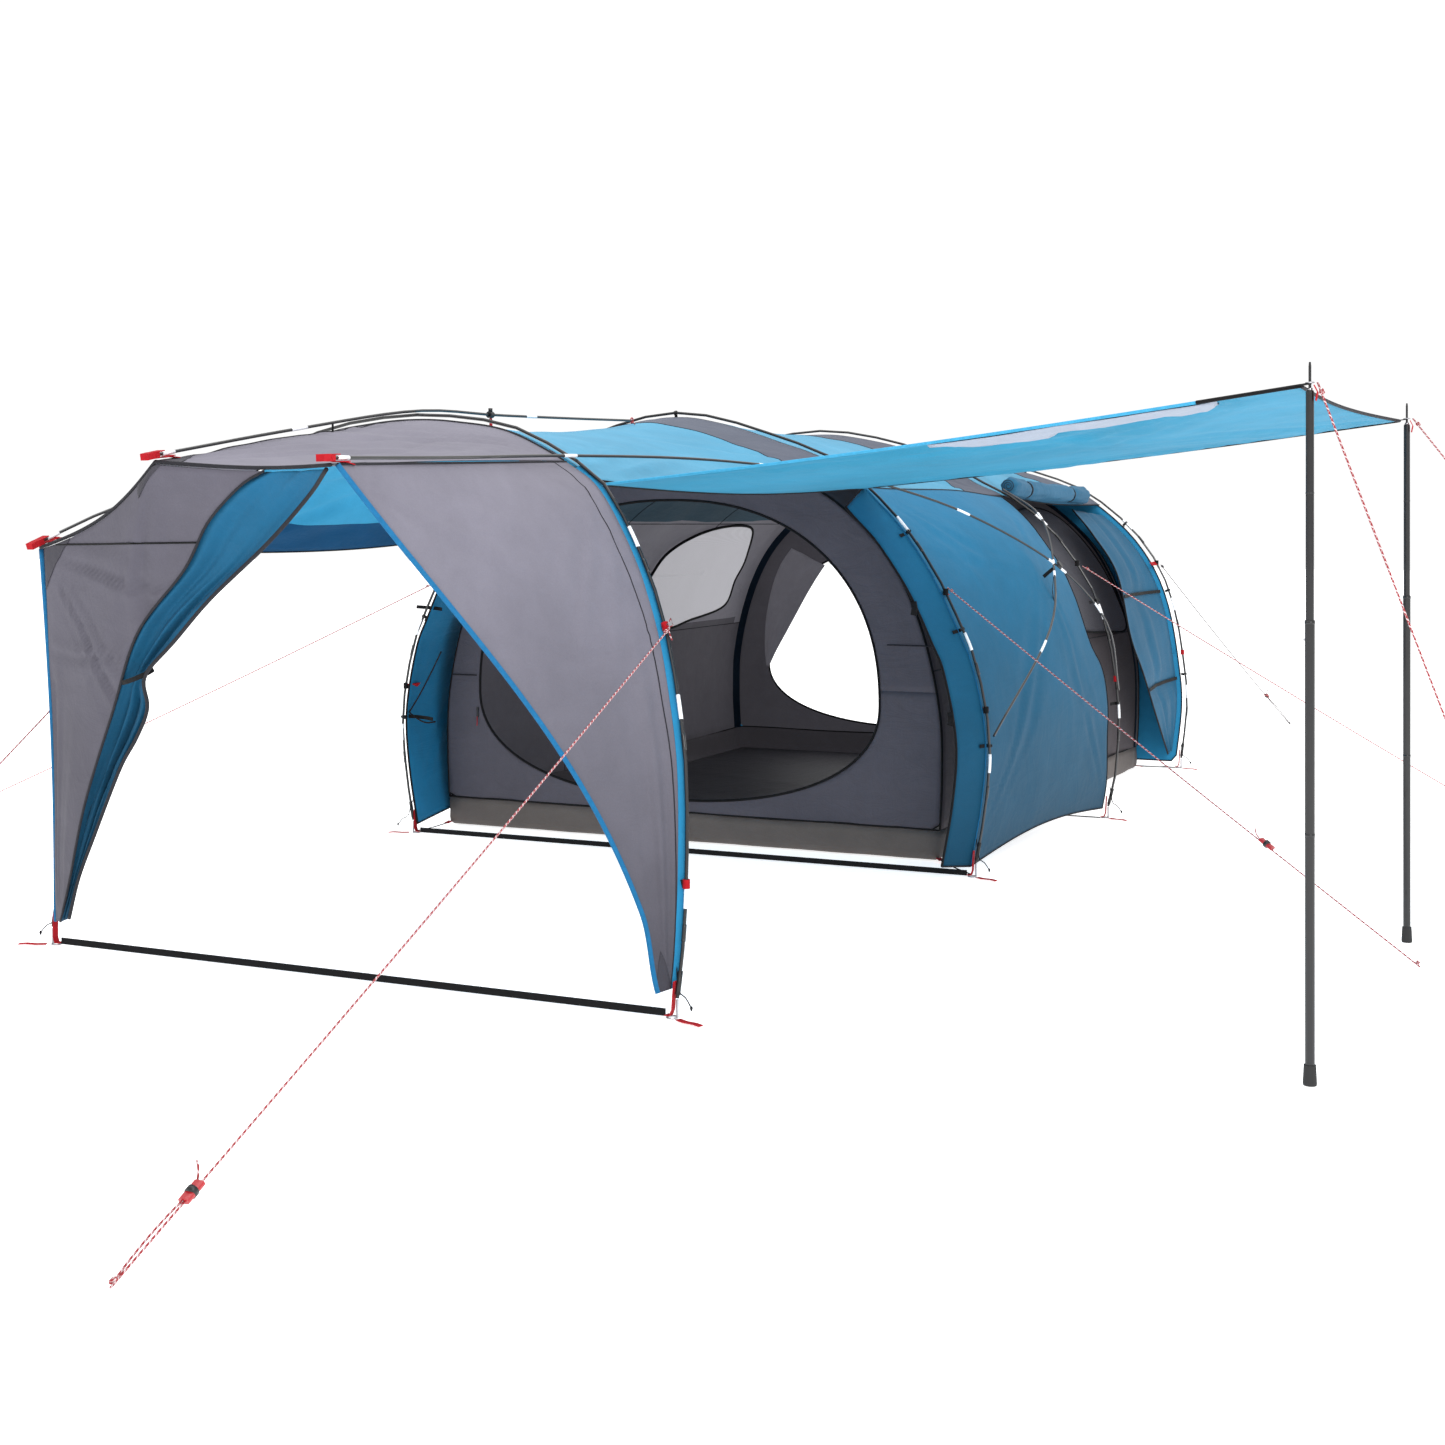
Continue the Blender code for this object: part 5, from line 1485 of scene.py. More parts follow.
# ====================================================================== rear side curtains and rolled covers
CURTAIN = [(1.100, 6.28, 1.690), (1.290, 6.03, 1.530), (1.440, 6.02, 1.290), (1.560, 5.84, 0.920),
           (1.600, 6.00, 0.700), (1.615, 6.34, 0.400), (1.585, 6.88, 0.100)]
for side, sg, spread in (("right", 1, 1.0), ("left", -1, 0.25)):
    edge = Path([(sg * x, y, z) for x, y, z in CURTAIN])

    def f_cur(s, t, sg=sg, edge=edge, spread=spread):
        p = edge.at(s)
        b = arch("d", sg * uz("d", min(p.z + 0.02, 1.700)), INSET + 0.035, -0.050)
        f = b.lerp(p, spread)
        q = f.lerp(b, t)
        tie = max(bump(s, 0.34, 0.05), bump(s, 0.64, 0.05))
        amp = (0.010 if spread > 0.5 else 0.006) * (1 - 0.75 * tie) * math.sin(math.pi * t) ** 0.6
        q.x += sg * amp * (math.cos(2 * math.pi * 3.1 * t + 2.2 * math.sin(3 * s)) * 0.7 + math.cos(2 * math.pi * 5.3 * t + 4 * s) * 0.3)
        q.x -= sg * 0.03 * tie * math.sin(math.pi * t)
        return q
    PC = wrinkle(grid(f_cur, 70, 40), [], 0.005, 7.7)
    ob = shell("rear_curtain_%s_cloth" % side, PC, ["blue_in", "blue_curtain", "piping"] if sg < 0 else ["blue_curtain", "blue_in", "piping"], 0.0016)
    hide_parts("rear_curtain_" + side)
    declare(ob, "gathered", (), (), 1.12)
    trim(tube("rear_curtain_%s_binding" % side, [PC[i][0] for i in range(71)], 0.0050, "piping", sides=6))
    if sg > 0:
        for q in (0.34, 0.64):
            i = int(70 * q)
            trim(ribbon("rear_curtain_tie_%d" % i, [PC[i][j] + Vector((sg * 0.010, 0, 0)) for j in range(0, 41, 2)], 0.020, 0.003, "web_black",
                        up=(sg, 0, 0.2)))

ucR, udR = uz("c", 1.775), uz("d", 1.745)
for side, sg in (("right", 1), ("left", -1)):
    c = arch("c", sg * (ucR - 0.010), -0.062, 0.085)
    d = arch("d", sg * (udR - 0.010), -0.062, -0.420)
    edge = [ROOF_R[i][NU if sg > 0 else 0] for i in range(55)]

    def edge_at(y, edge=edge):
        k = next((n for n in range(1, 54) if edge[n].y > y), 54)
        u = (y - edge[k - 1].y) / (edge[k].y - edge[k - 1].y)
        return edge[k - 1].lerp(edge[k], min(max(u, 0.0), 1.0))

    def roll_at(s, c=c, d=d, sg=sg, edge_at=edge_at):
        # the rolled cover lies down on the roof's edge
        q = c.lerp(d, s) + Vector((0, 0, -0.012 * math.sin(math.pi * s)))
        down = edge_at(q.y) + Vector((sg * 0.010, 0, 0.060)) - q
        return q + down * min(1.0, 0.042 / max(down.length, 1e-6))
    P = []
    for i in range(61):
        s = i / 60
        ctr = roll_at(s)
        tie = max(bump(s, 0.22, 0.025), bump(s, 0.78, 0.025))
        row = []
        for j in range(45):
            a = 2 * math.pi * j / 44
            r = 0.0545 * (1 - 0.20 * tie)
            r *= 1 + 0.045 * math.sin(5 * a + 7 * s) * (1 - tie) + 0.04 * math.sin(2 * a + 17 * s) + 0.03 * math.sin(9 * a - 23 * s)
            r *= 1 - 0.25 * sm(abs(s - 0.5), 0.47, 0.5)
            row.append(ctr + Vector((sg * r * math.cos(a), 0, r * math.sin(a))))
        P.append(row)
    verts = [p for row in P for p in row[:-1]]
    faces = []
    for i in range(60):
        for j in range(44):
            a, b = i * 44 + j, i * 44 + (j + 1) % 44
            faces.append((a, b, b + 44, a + 44))
    faces.append(tuple(reversed(range(44))))
    faces.append(tuple(60 * 44 + k for k in range(44)))
    roll = mesh_object("rolled_cover_%s_cloth" % side, verts, faces, ["blue_roll"])
    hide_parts("rolled_cover_" + side)
    # the strip of the cover between its seam on the roof's edge and the roll
    verts, faces = [], []
    for i in range(61):
        q = roll_at(i / 60)
        lo, hi = edge_at(q.y), q + Vector((-sg * 0.020, 0, -0.044))
        n = (hi - lo).cross(Vector((0, 1, 0))).normalized() * 0.0012
        verts += [lo - n, lo + n, hi + n, hi - n]
        if i:
            a, b = 4 * i - 4, 4 * i
            faces += [(a + k, a + (k + 1) % 4, b + (k + 1) % 4, b + k) for k in range(4)]
    faces += [(3, 2, 1, 0), (240, 241, 242, 243)]
    strip = mesh_object("rolled_cover_%s_seam_strip" % side, verts, faces, ["blue_roll"], smooth=False)
    bm = bmesh.new()
    bm.from_mesh(strip.data)
    bmesh.ops.recalc_face_normals(bm, faces=bm.faces[:])
    bm.to_mesh(strip.data)
    bm.free()
    trim(strip)
    # the rolled edge's spiral at each end and two ties
    for e, q in (("front", 0.0), ("rear", 1.0)):
        ctr = roll_at(q) + Vector((0, -0.002 if q == 0 else 0.002, 0))
        sp = []
        for k in range(60):
            a = 2 * math.pi * 2.6 * k / 59
            r = 0.006 + 0.032 * k / 59
            sp.append(ctr + Vector((sg * r * math.cos(a), 0, r * math.sin(a))))
        trim(tube("rolled_cover_%s_spiral_%s" % (side, e), sp, 0.0016, "bind_grey", sides=6))
    for n_, q in enumerate((0.22, 0.78)):
        ctr = roll_at(q)
        rp = [ctr + Vector((sg * 0.0475 * math.cos(2 * math.pi * k / 28), 0, 0.0475 * math.sin(2 * math.pi * k / 28))) for k in range(29)]
        trim(ribbon("rolled_cover_%s_tie_%d" % (side, n_), rp, 0.018, 0.003, "web_black", up=lambda i, p, ctr=ctr: Vector(p) - ctr))

# ====================================================================== poles, pins, straps: better materials
for node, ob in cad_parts.items():
    m = None
    if node.startswith(("arch_pole", "porch_ridge", "porch_purlin", "brace_pole")):
        m = "pole"
    elif node.endswith("_foot") and node.startswith("awning"):
        m = "rubber"
    elif node.startswith("awning_pole"):
        m = "steel_black"
    elif node.startswith("foot_pin"):
        m = "steel"
    elif node.startswith("ground_strap"):
        m = "web_black"
    elif node in ("ridge_clip", "brace_hub", "door_zip_slider"):
        m = "plastic"
    elif node.startswith("tensioner"):
        m = "red"
    if m:
        ob.data.materials.clear()
        ob.data.materials.append(M[m])
        if not node.startswith(("ground_strap", "tensioner", "door_zip")):
            ob.data.polygons.foreach_set("use_smooth", [True] * len(ob.data.polygons))


def sleeve(name, path, t0, length, r, mat, body="tent", sides=14):
    L = path.length
    a, b = t0 - length / 2 / L, t0 + length / 2 / L
    return trim(tube(name, [path.at(a + (b - a) * i / 6) for i in range(7)], r, mat, body=body, sides=sides))


POLE_PATH = {}
for key in "abcd":
    ue = uz(key, FOOT_Z)
    POLE_PATH[key] = Path([arch(key, -ue + 2 * ue * i / 36) for i in range(37)], 400, True)
up_a = PROF["a"].at(0)[1]
RIDGE = Path([TIP_MID, (0, -0.25, 1.920), (0, Y_A + LEAN_A * up_a, up_a + POLE_R + RIDGE_R + 0.003),
              (0, 1.10, 2.040), (0, 1.75, 2.060), (0, 2.27, 2.078)], 300)
PUR_R = Path([TIP_RIGHT, (0.705, -0.35, 1.812), outside("a", uR, 0.0165), (0.80, 1.45, 1.858),
              outside("b", uz("b", 1.805), 0.020, -0.055)], 300)
PUR_L = Path([TIP_LEFT, (-0.785, -0.20, 1.668), outside("a", -uL, 0.0165), (-0.84, 1.45, 1.840),
              outside("b", -uz("b", 1.805), 0.020, -0.055)], 300)
B_TOP = outside("b", uz("b", 1.800), 0.014, 0.022)
B_LOW = outside("b", uz("b", 0.640), 0.014, 0.022)
C_TOP = outside("c", uz("c", 1.780), 0.014, -0.022)
C_LOW = outside("c", uz("c", 0.700), 0.014, -0.022)
BR_F = Path([B_TOP, (1.295, 3.280, 1.655), HUB + Vector((0.009, 0, 0.006)), (1.760, 4.30, 1.080), C_LOW], 300)
BR_R = Path([C_TOP, (1.410, 4.28, 1.640), HUB - Vector((0.009, 0, 0.006)), (1.690, 3.36, 1.080), B_LOW], 300)

for key, heights in (("a", (1.55, 0.99, 0.38)), ("b", (1.60, 1.07, 0.52)), ("c", (1.62, 1.13, 0.59)), ("d", (1.60, 1.07, 0.50))):
    path = POLE_PATH[key]
    for k, z in enumerate(heights):
        for side, lo, hi in (("left", 0, 200), ("right", 200, 400)):
            t = min(range(lo, hi + 1), key=lambda q: abs(path.at(q / 400).z - z)) / 400
            sleeve("reflective_band_%s_%s_%d" % (LABEL[key], side, k), path, t, 0.085, POLE_R + 0.0006, "sticker")
            # the joint between two pole sections, beside each band
            j = t + (-0.022 if side == "left" else 0.022)
            sleeve("pole_joint_%s_%s_%d" % (LABEL[key], side, k), path, j, 0.055, POLE_R + 0.0009, "pole")
for nm, path, spots in (("ridge", RIDGE, (0.225, 0.717)), ("purlin_right", PUR_R, (0.38, 0.767)), ("purlin_left", PUR_L, (0.40, 0.75)),
                        ("brace_front", BR_F, (0.25, 0.72)), ("brace_rear", BR_R, (0.22, 0.735))):
    for k, t in enumerate(spots):
        sleeve("reflective_band_%s_%d" % (nm, k), path, t, 0.085, RIDGE_R + 0.0006, "sticker")

# red webbing pockets at the three porch pole tips
for nm, tip, inward in (("middle", TIP_MID, RIDGE.dir(0.01)), ("right", TIP_RIGHT, PUR_R.dir(0.01)), ("left", TIP_LEFT, PUR_L.dir(0.01))):
    d = Vector(inward)
    s = d.cross(Vector((0, 0, 1))).normalized()
    o = Vector(tip)
    pocket = [o + d * 0.075 + Vector((0, 0, -0.010)), o + d * 0.030 + Vector((0, 0, -0.011)), o - d * 0.010 + Vector((0, 0, -0.008)),
              o - d * 0.016 + Vector((0, 0, 0.002)), o - d * 0.010 + Vector((0, 0, 0.010)), o + d * 0.026 + Vector((0, 0, 0.0105))]
    trim(ribbon("porch_tip_pocket_" + nm, pocket, 0.030, 0.003, "web_red", up=lambda i, p: (0, 0, 1) if i < 2 or i > 4 else tuple(-d)))
    trim(ribbon("porch_tip_tail_" + nm, [o + d * 0.004, o - d * 0.024 + Vector((0, 0, 0.001)), o - d * 0.052 + Vector((0, 0, 0.000))],
                0.028, 0.021, "web_red", up=(0, 0, 1)))
    trim(ribbon("porch_tip_anchor_" + nm, [o + d * 0.06 + Vector((0, 0, -0.012)), o + d * 0.10 + Vector((0, 0, -0.020))], 0.026, 0.0026, "web_red", up=(0, 0, 1)))
    trim(tube("porch_tip_ferrule_" + nm, [o + d * 0.030, o + d * 0.085], RIDGE_R + 0.0012, "sticker", sides=12))

# end ring of the ridge pole with its red tie, and the clip's red strap
e = Vector((0, 2.288, 2.079))
trim(tube("ridge_end_ring", [e + Vector((0, 0.012 * math.cos(a), 0.012 * math.sin(a))) for a in [2 * math.pi * i / 22 for i in range(23)]],
          0.0032, "red", sides=8))
trim(tube("ridge_end_tie", [e + Vector((0, 0.010, -0.006)), e + Vector((0.004, 0.020, -0.016)), e + Vector((0.0, 0.034, -0.022))], 0.0028, "rope", sides=8))
rc = RIDGE.at(16 / 26)
trim(ribbon("ridge_clip_strap", [rc + Vector((0, 0, -0.014)), rc + Vector((0.0, 0.004, -0.030)), rc + Vector((0, 0.004, -0.048))], 0.020, 0.003, "web_red", up=(1, 0, 0)))
trim(tube("ridge_clip_knob", [rc + Vector((0, 0, 0.012)), rc + Vector((0, 0, 0.026))], 0.0085, "plastic", sides=12))
trim(ribbon("porch_seam_tie", [RIDGE.at(0.285) + Vector((0, 0, -0.005)), RIDGE.at(0.285) + Vector((0, 0, -0.030)), RIDGE.at(0.285) + Vector((0, 0, -0.045))],
            0.010, 0.002, "web_black", up=(1, 0, 0)))

# hub of the brace poles: white ferrules and a tie to the cloth
for nm, path, t in (("a", BR_F, 0.5), ("b", BR_R, 0.5)):
    best = min(range(301), key=lambda q: (path.at(q / 300) - HUB).length) / 300
    for k, o in enumerate((-0.022, 0.022)):
        sleeve("hub_ferrule_%s_%d" % (nm, k), path, best + o, 0.045, RIDGE_R + 0.0010, "sticker")
trim(ribbon("hub_tie", [HUB - Vector((0.012, 0, 0.008)), HUB - Vector((0.040, 0, 0.030)), HUB - Vector((0.062, 0, 0.050))], 0.018, 0.003, "web_black", up=(0, 1, 0)))
trim(ribbon("hub_tape", [HUB + Vector((-0.010, 0.010, -0.02)), HUB + Vector((-0.030, 0.050, -0.12)), HUB + Vector((-0.020, 0.090, -0.24)), HUB + Vector((0.0, 0.110, -0.34))],
            0.010, 0.002, "web_black", up=(1, 0, 0.2)))


# pole clips: a small hook round the pole and a short strap to the cloth
def pole_clip(name, key, u, dy):
    p = arch(key, u)
    q = arch(key, u, INSET - 0.002, dy)
    tdir = (arch(key, u + 0.01) - arch(key, u - 0.01)).normalized()
    n = (p - q).normalized()
    yv = tdir.cross(n).normalized()
    ringp = [p + (n * math.cos(a) + yv * math.sin(a)) * (POLE_R + 0.0030) for a in [math.pi * (0.15 + 1.7 * i / 14) for i in range(15)]]
    trim(ribbon(name + "_hook", ringp, 0.012, 0.003, "plastic", up=lambda i, x: Vector(x) - p))
    trim(ribbon(name + "_strap", [p - n * (POLE_R + 0.003), q, q + yv * 0.004 - n * 0.001 + yv * (0.045 if dy > 0 else -0.045)], 0.016, 0.002, "web_black",
                up=lambda i, x: yv if i == 0 else n))


for key, us in (("b", (-0.80, -0.62, -0.45, -0.28, 0.0, 0.28, 0.45, 0.62, 0.80)), ("c", (-0.80, -0.62, -0.45, -0.2, 0.2, 0.62, 0.80)),
                ("d", (-0.80, -0.62, -0.45, -0.2, 0.2, 0.45, 0.62, 0.80))):
    for k, u in enumerate(us):
        pole_clip("pole_clip_%s_%d" % (LABEL[key], k), key, u, 0.006 if key != "d" else -0.006)


# red and black connectors from the cloth to the poles at shoulder and knee height
def connector(name, key, z, sg, dy, big=True):
    u = sg * uz(key, z)
    p = arch(key, u)
    q = arch(key, u, INSET, dy)
    y = 1 if dy > 0 else -1
    if big:
        trim(ribbon(name + "_web", [p + Vector((0, 0, 0.0)), p.lerp(q, 0.5) + Vector((0, y * 0.02, 0)), q + Vector((0, y * 0.085, 0.004))], 0.028, 0.003,
                    "web_red", up=(sg * 0.7, 0, 0.7)))
    ringp = [p + Vector((math.cos(a) * (POLE_R + 0.004), math.sin(a) * (POLE_R + 0.004), 0)) for a in [2 * math.pi * i / 18 for i in range(19)]]
    trim(ribbon(name + "_loop", ringp, 0.030, 0.003, "web_black" if big else "web_red", up=lambda i, x: Vector(x) - p))


def reinforcement(name, key, z, sg, dy, size=0.16):
    """A dark triangle of cloth sewn on where a strap pulls."""
    u0 = sg * uz(key, z)
    a = arch(key, u0, INSET - 0.0025, dy)
    b = arch(key, sg * uz(key, z + size), INSET - 0.0025, dy)
    c_ = arch(key, sg * uz(key, z + size * 0.5), INSET - 0.0025, dy + (size * 1.1 if dy > 0 else -size * 1.1))
    G = [[a.lerp(b, j / 4).lerp(c_, i / 6) for j in range(5)] for i in range(6)]
    ob = shell(name, G, ["grey_dark", "grey_dark", "grey_dark"], 0.0012)
    ob["patch"] = 1
    return trim(ob)


for key, z, dy in (("b", 1.290, 0.0), ("c", 1.385, 0.0), ("d", 1.345, -0.0)):
    for side, sg in (("right", 1), ("left", -1)):
        connector("shoulder_%s_%s" % (LABEL[key], side), key, z, sg, 0.006 if key != "d" else -0.006)
for key, z in (("b", 0.760), ("c", 0.760), ("d", 0.760)):
    for side, sg in (("right", 1), ("left", -1)):
        connector("knee_%s_%s" % (LABEL[key], side), key, z, sg, 0.006 if key != "d" else -0.006, big=(key == "b"))
for side, sg in (("right", 1), ("left", -1)):
    p = Vector((sg * 1.130, 0.3125, 1.250))
    d = (arch("a", sg * uz("a", 1.30)) - arch("a", sg * uz("a", 1.20))).normalized()
    sv = Vector((1, 0, 0)) - d * d.x
    sv.normalize()
    bv = d.cross(sv)
    trim(ribbon("front_shoulder_loop_" + side, [p + (sv * math.cos(a) + bv * math.sin(a)) * (POLE_R + 0.004) for a in [2 * math.pi * i / 18 for i in range(19)]],
                0.028, 0.0035, "web_red", up=lambda i, x: Vector(x) - p))
    trim(tube("front_shoulder_bow_" + side, [p + Vector((sg * 0.012, -0.010, 0.006)), p + Vector((sg * 0.030, -0.020, 0.028)), p + Vector((sg * 0.040, -0.022, 0.006)),
                                             p + Vector((sg * 0.018, -0.014, -0.004)), p + Vector((sg * 0.030, -0.024, -0.030)), p + Vector((sg * 0.040, -0.030, -0.044))],
              0.0026, "rope", sides=8))
    q = arch("a", sg * uz("a", 0.42))
    trim(ribbon("front_knee_loop_" + side, [q + Vector((math.cos(a) * (POLE_R + 0.004), math.sin(a) * (POLE_R + 0.004), 0)) for a in [2 * math.pi * i / 18 for i in range(19)]],
                0.030, 0.0035, "web_red", up=lambda i, x: Vector(x) - q))
    trim(ribbon("front_knee_strap_" + side, [q + Vector((-sg * 0.010, -0.002, 0)), q + Vector((-sg * 0.026, -0.006, 0.0))], 0.026, 0.003, "web_black", up=(0, 1, 0)))

# toggles on the front edge of the right panel
for k, z in enumerate((1.21, 0.73)):
    j = min(range(len(SIDE_R[0])), key=lambda q: abs(SIDE_R[0][q].z - z))
    p = SIDE_R[0][j]
    trim(ribbon("panel_toggle_%d" % k, [p + Vector((-0.012, -0.006, 0.030)), p + Vector((-0.006, -0.010, 0.0)), p + Vector((-0.012, -0.006, -0.030))], 0.026, 0.010, "web_black",
                up=(0, -1, 0)))

# ====================================================================== feet
for key in "abcd":
    ue = uz(key, FOOT_Z)
    for side, sg in (("left", -1), ("right", 1)):
        p = arch(key, sg * ue)
        nm = "%s_%s" % (LABEL[key], side)
        tab = [Vector((p.x - sg * 0.010, p.y + 0.004, 0.120)), Vector((p.x - sg * 0.012, p.y, 0.075)), Vector((p.x - sg * 0.014, p.y - 0.002, 0.030)),
               Vector((p.x - sg * 0.022, p.y - 0.002, 0.010)), Vector((p.x - sg * 0.040, p.y, 0.0095 if key in "ab" else 0.006))]
        trim(ribbon("foot_tab_" + nm, tab, 0.026, 0.003, "web_red", up=lambda i, x, sg=sg: (-sg, 0, 0.3) if i < 3 else (0, 0, 1)))
        pull = [Vector((p.x + sg * 0.012, p.y - 0.020, 0.004)), Vector((p.x + sg * 0.045, p.y - 0.040, 0.0045)), Vector((p.x + sg * 0.085, p.y - 0.052, 0.006)),
                Vector((p.x + sg * 0.112, p.y - 0.060, 0.0035))]
        trim(ribbon("foot_pull_" + nm, pull, 0.022, 0.0028, "web_red", up=(0, 0, 1)))
        trim(tube("foot_boot_" + nm, [POLE_PATH[key].at(0.002 if sg < 0 else 0.998), POLE_PATH[key].at(0.016 if sg < 0 else 0.984)], POLE_R + 0.0022, "plastic", sides=14))
        # black drawcord with a knotted end
        g = arch(key, sg * uz(key, 0.17), INSET - 0.004)
        cord = [g, g + Vector((sg * 0.010, -0.012, -0.045)), g + Vector((sg * 0.020, -0.018, -0.085)), g + Vector((sg * 0.046, -0.026, -0.100)),
                g + Vector((sg * 0.070, -0.034, -0.128))]
        trim(tube("foot_drawcord_" + nm, catmull(cord, 16), 0.0022, "cord_black", sides=6))
        trim(tube("foot_drawcord_knot_" + nm, [cord[-1] + Vector((0, 0, 0.006)), cord[-1], cord[-1] - Vector((0, 0, 0.010))], 0.0050, "cord_black", sides=8,
                  radii=[0.002, 0.0055, 0.002]))

# straps and cords on the far side's panel, from its front edge back to the pole
for k, (z, x0, x1) in enumerate(((1.170, -1.500, -1.345), (0.600, -1.560, -1.400))):
    y0 = 2.775
    trim(ribbon("far_panel_strap_%d" % k, [Vector((x0 + (x1 - x0) * i / 6, y0 + 0.020 * math.sin(math.pi * i / 6), z - 0.01 * i / 6)) for i in range(7)],
                0.018, 0.003, "web_black", up=(0, 1, 0)))
for k, pts in enumerate(([(-1.365, 2.80, 0.940), (-1.42, 2.79, 0.830), (-1.48, 2.780, 0.720), (-1.545, 2.775, 0.620)],
                         [(-1.545, 2.775, 0.620), (-1.50, 2.780, 0.590), (-1.45, 2.785, 0.570), (-1.40, 2.80, 0.575)])):
    trim(tube("far_panel_cord_%d" % k, catmull([Vector(p) for p in pts], 16), 0.0040, "cord_black", sides=8))

# the rear inner door, gathered beside its doorway with a slack edge of grey cloth
RD = [(-1.010, 1.430), (-1.090, 1.320), (-1.150, 1.180), (-1.190, 1.020), (-1.210, 0.880), (-1.215, 0.720), (-1.205, 0.600)]
FE = [(-0.780, 1.310), (-0.850, 1.210), (-0.925, 1.090), (-1.000, 0.960), (-1.075, 0.830), (-1.150, 0.700), (-1.205, 0.590)]
ed = Path([(x - 0.03, Y_IN1 - 0.020, z) for x, z in RD])
fr = Path([(x, Y_IN1 - 0.040, z) for x, z in FE])
PR = []
for i in range(41):
    s = i / 40
    PR.append([ed.at(s).lerp(fr.at(s), j / 14) + Vector((0, -0.012 * math.sin(math.pi * j / 14) * math.cos(9 * j / 14 + 3 * s), 0)) for j in range(15)])
IRD = shell("inner_rear_door_cloth", PR, ["inner_light", "inner_light", "piping"], 0.0014)
declare(IRD, "gathered", (), (), 1.1)
# dark bands sewn up the inner tent's rear corners
for nm, t, yb in (("rear_left", 0.0, 1.0), ("rear_right", 1.0, 1.0)):
    cols = [SHELL_P[NS - 1][j] for j in (range(0, 40) if t == 0 else range(NJS - 39, NJS + 1))]
    off = Vector((0.012 if t == 0 else -0.012, -0.012, 0))
    trim(ribbon("inner_corner_band_" + nm, [c + off for c in cols], 0.070, 0.0016, "corner_band", up=lambda i, p, t=t: (0.7 if t == 0 else -0.7, -0.7, 0)))
# the left window's cover strap
trim(ribbon("left_window_strap", [Vector((-1.44, 6.26, 1.46)), Vector((-1.45, 6.20, 1.36)), Vector((-1.45, 6.12, 1.24)), Vector((-1.46, 6.06, 1.08)), Vector((-1.47, 6.02, 0.93))],
            0.016, 0.002, "web_black", up=(1, 0, 0)))

# red tabs on the groundsheet's corners, with thin straps to the feet
for k, key, sg in ((0, "b", -1), (1, "b", 1), (2, "d", 1), (3, "d", -1)):
    cx_, cy_ = tub_corner(k)
    c = Vector((cx_, cy_, 0.012))
    f = arch(key, sg * uz(key, FOOT_Z))
    f = Vector((f.x - sg * 0.03, f.y, 0.014))
    v = (f - c).normalized()
    trim(ribbon("tub_corner_tab_%d" % k, [c - v * 0.006 + Vector((0, 0, 0.006)), c + v * 0.034], 0.026, 0.003, "web_red", up=(0, 0, 1)))
    trim(ribbon("tub_corner_strap_%d" % k, [c + v * 0.030, c.lerp(f, 0.55) - Vector((0, 0, 0.004)), f], 0.010, 0.002, "web_black", up=(0, 0, 1)))

# awning poles: joint marks and crimps
for k, pole in ((1, POLE_1), (2, POLE_2)):
    for z, r, body in ((1.326, 0.0148, "awning_pole_%d_lower_section" % k), (0.72, 0.0146, "awning_pole_%d_lower_section" % k)):
        trim(tube("awning_pole_%d_collar_%d" % (k, int(z * 1000)), [pole + Vector((0, 0, z - 0.012)), pole + Vector((0, 0, z - 0.0125 + 0.010))], r, "steel_black",
                  body=body, sides=24))
    trim(tube("awning_pole_%d_button" % k, [pole + Vector((-0.0125, -0.004, 1.27)), pole + Vector((-0.0165, -0.0055, 1.27))], 0.0035, "steel",
              body="awning_pole_%d_lower_section" % k, sides=12))
    trim(tube("awning_pole_%d_joint" % k, [pole + Vector((0, 0, 1.686)), pole + Vector((0, 0, 1.690))], 0.0122, "plastic", sides=24))
    trim(tube("awning_pole_%d_spike_collar" % k, [pole + Vector((0, 0, 1.978)), pole + Vector((0, 0, 1.988))], 0.0075, "steel", sides=16))

# zip slider's pull
zs = Vector((-1.302, Y_IN0 - 0.0095, 0.620))
trim(tube("door_zip_pull", [zs + Vector((0, -0.002, -0.036)), zs + Vector((0.002, -0.004, -0.060)), zs + Vector((0, -0.003, -0.085))], 0.0022, "web_red", body="door_zip", sides=8))

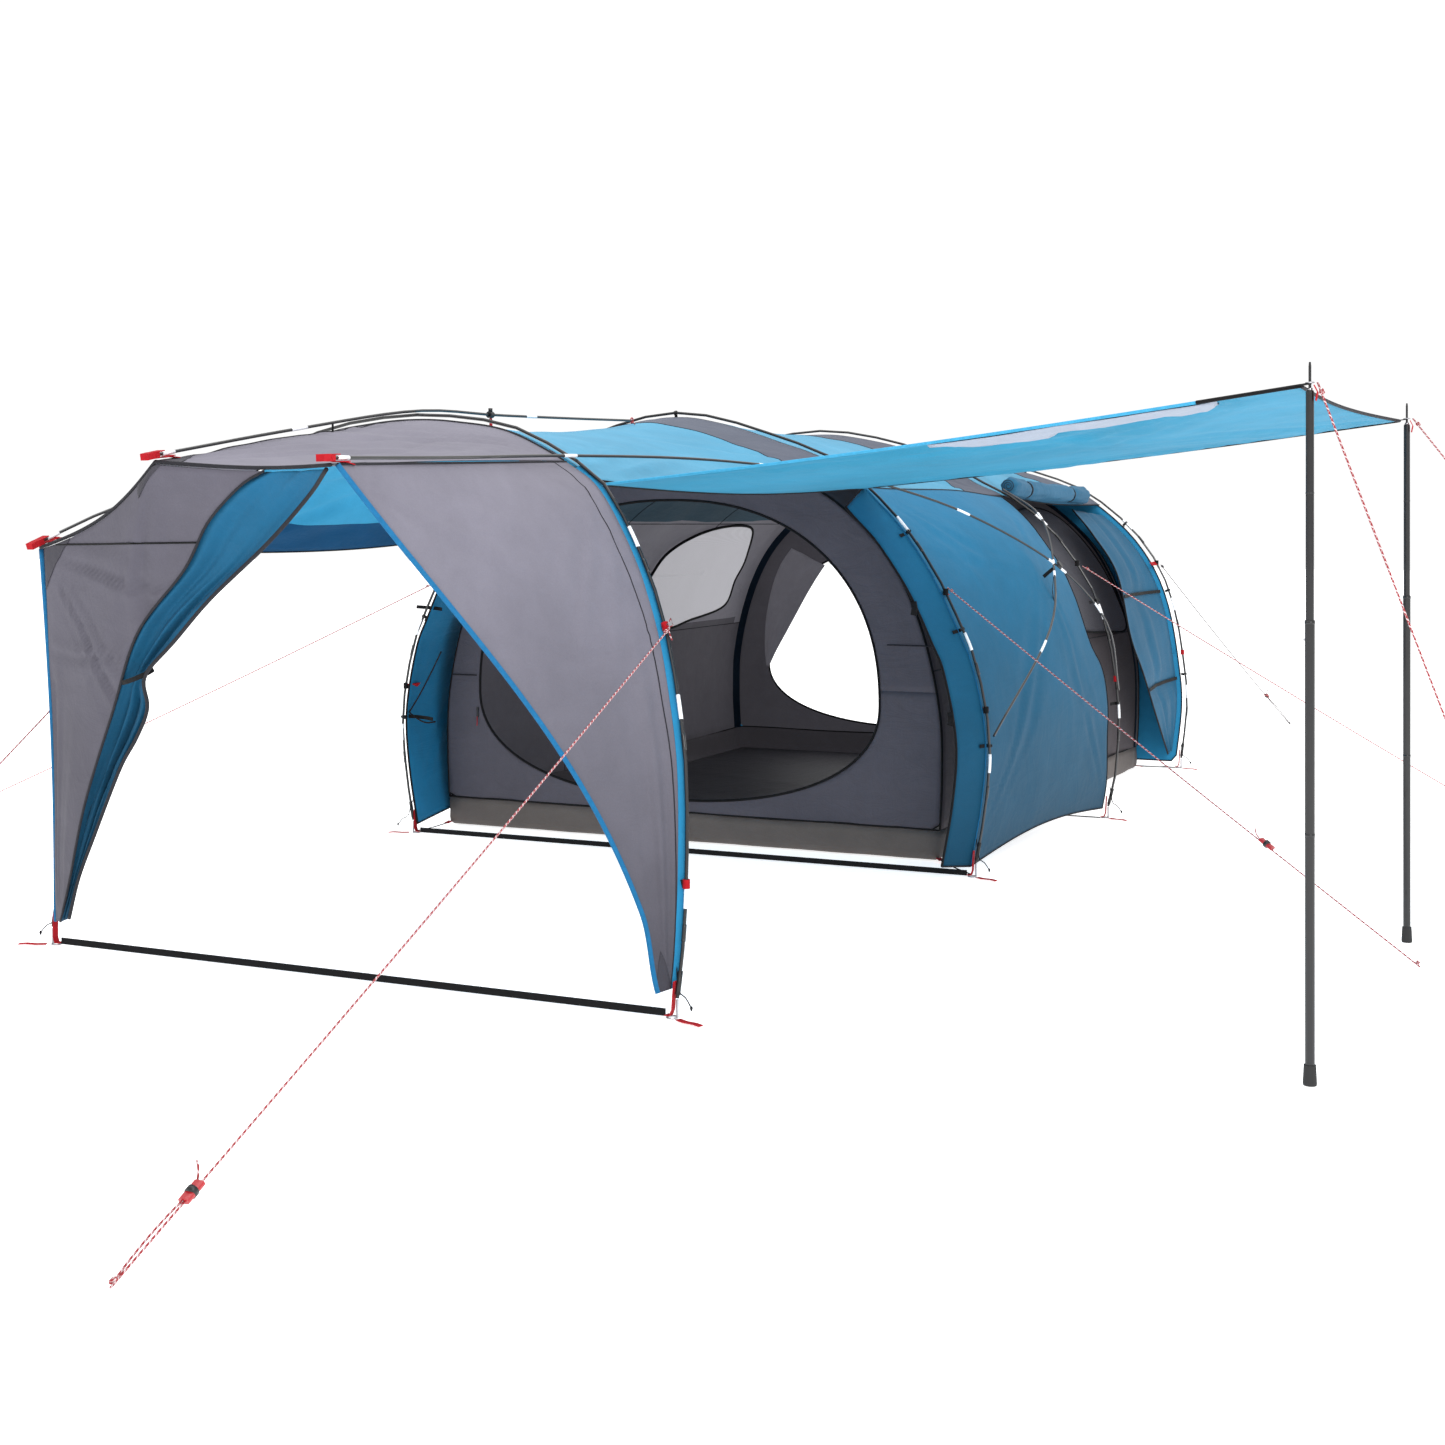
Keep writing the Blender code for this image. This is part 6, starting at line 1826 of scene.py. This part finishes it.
for ob, held, rests, pieces_, factor in SHEETS:
    area = ob["mid_area"] * factor
    e = list(ob["extent"])
    flat_as_box = e[2] < 0.2 * e[1] and held != "gathered" and not ob.name.startswith("tub_wall")
    a, b = (e[0], e[1]) if flat_as_box else (ob["flat_i"] * factor, ob["flat_j"] * factor)
    share = area / (a * b)
    if share > 0.98:
        a, b = a * (share / 0.98) ** 0.5, b * (share / 0.98) ** 0.5
    elif share < 0.31:
        b = area / (0.31 * a)
    round(max(a, b), 3)
    round(min(a, b), 3)
for rope, pts, name, with_p, L in CORDS:
    tuple(Vector(pts[0]) + SHIFT)
    [tuple(Vector(p) + SHIFT) for p in pts]

# ====================================================================== floor, backdrop and light
me = bpy.data.meshes.new("floor")
bm = bmesh.new()
bmesh.ops.create_grid(bm, x_segments=1, y_segments=1, size=60)
bm.to_mesh(me)
bm.free()
floor = link(bpy.data.objects.new("floor", me))
floor.location = (0, 0, -0.002)
fm, fnt, fb = nodes_of("pale_floor")
fb.inputs["Base Color"].default_value = (0.93, 0.93, 0.93, 1)
fb.inputs["Roughness"].default_value = 0.9
fb.inputs["Specular IOR Level"].default_value = 0.1
fb.inputs["Emission Color"].default_value = (1, 1, 1, 1)
fb.inputs["Emission Strength"].default_value = 0.75
me.materials.append(fm)
world = bpy.data.worlds.new("studio") if not bpy.context.scene.world else bpy.context.scene.world
bpy.context.scene.world = world
world.use_nodes = True
bg = world.node_tree.nodes["Background"]
bg.inputs[0].default_value = (1.0, 1.0, 1.0, 1)
bg.inputs[1].default_value = 1.03


def area_light(name, loc, target, size, energy):
    ld = bpy.data.lights.new(name, "AREA")
    ld.shape = "RECTANGLE"
    ld.size, ld.size_y = size
    ld.energy = energy
    ob = link(bpy.data.objects.new(name, ld))
    ob.location = Vector(loc) + SHIFT
    ob.rotation_euler = (Vector(target) - Vector(loc)).to_track_quat("-Z", "Y").to_euler()
    return ob


area_light("key", (7.5, -6.0, 7.5), (0.5, 2.5, 1.0), (5, 5), 620)
area_light("top", (0.0, 2.5, 9.0), (0.5, 2.5, 1.0), (9, 9), 520)
sc = bpy.context.scene
sc.view_settings.view_transform = "Standard"
sc.view_settings.look = "None"
sc.view_settings.exposure = 0.0
sc.view_settings.gamma = 1.0
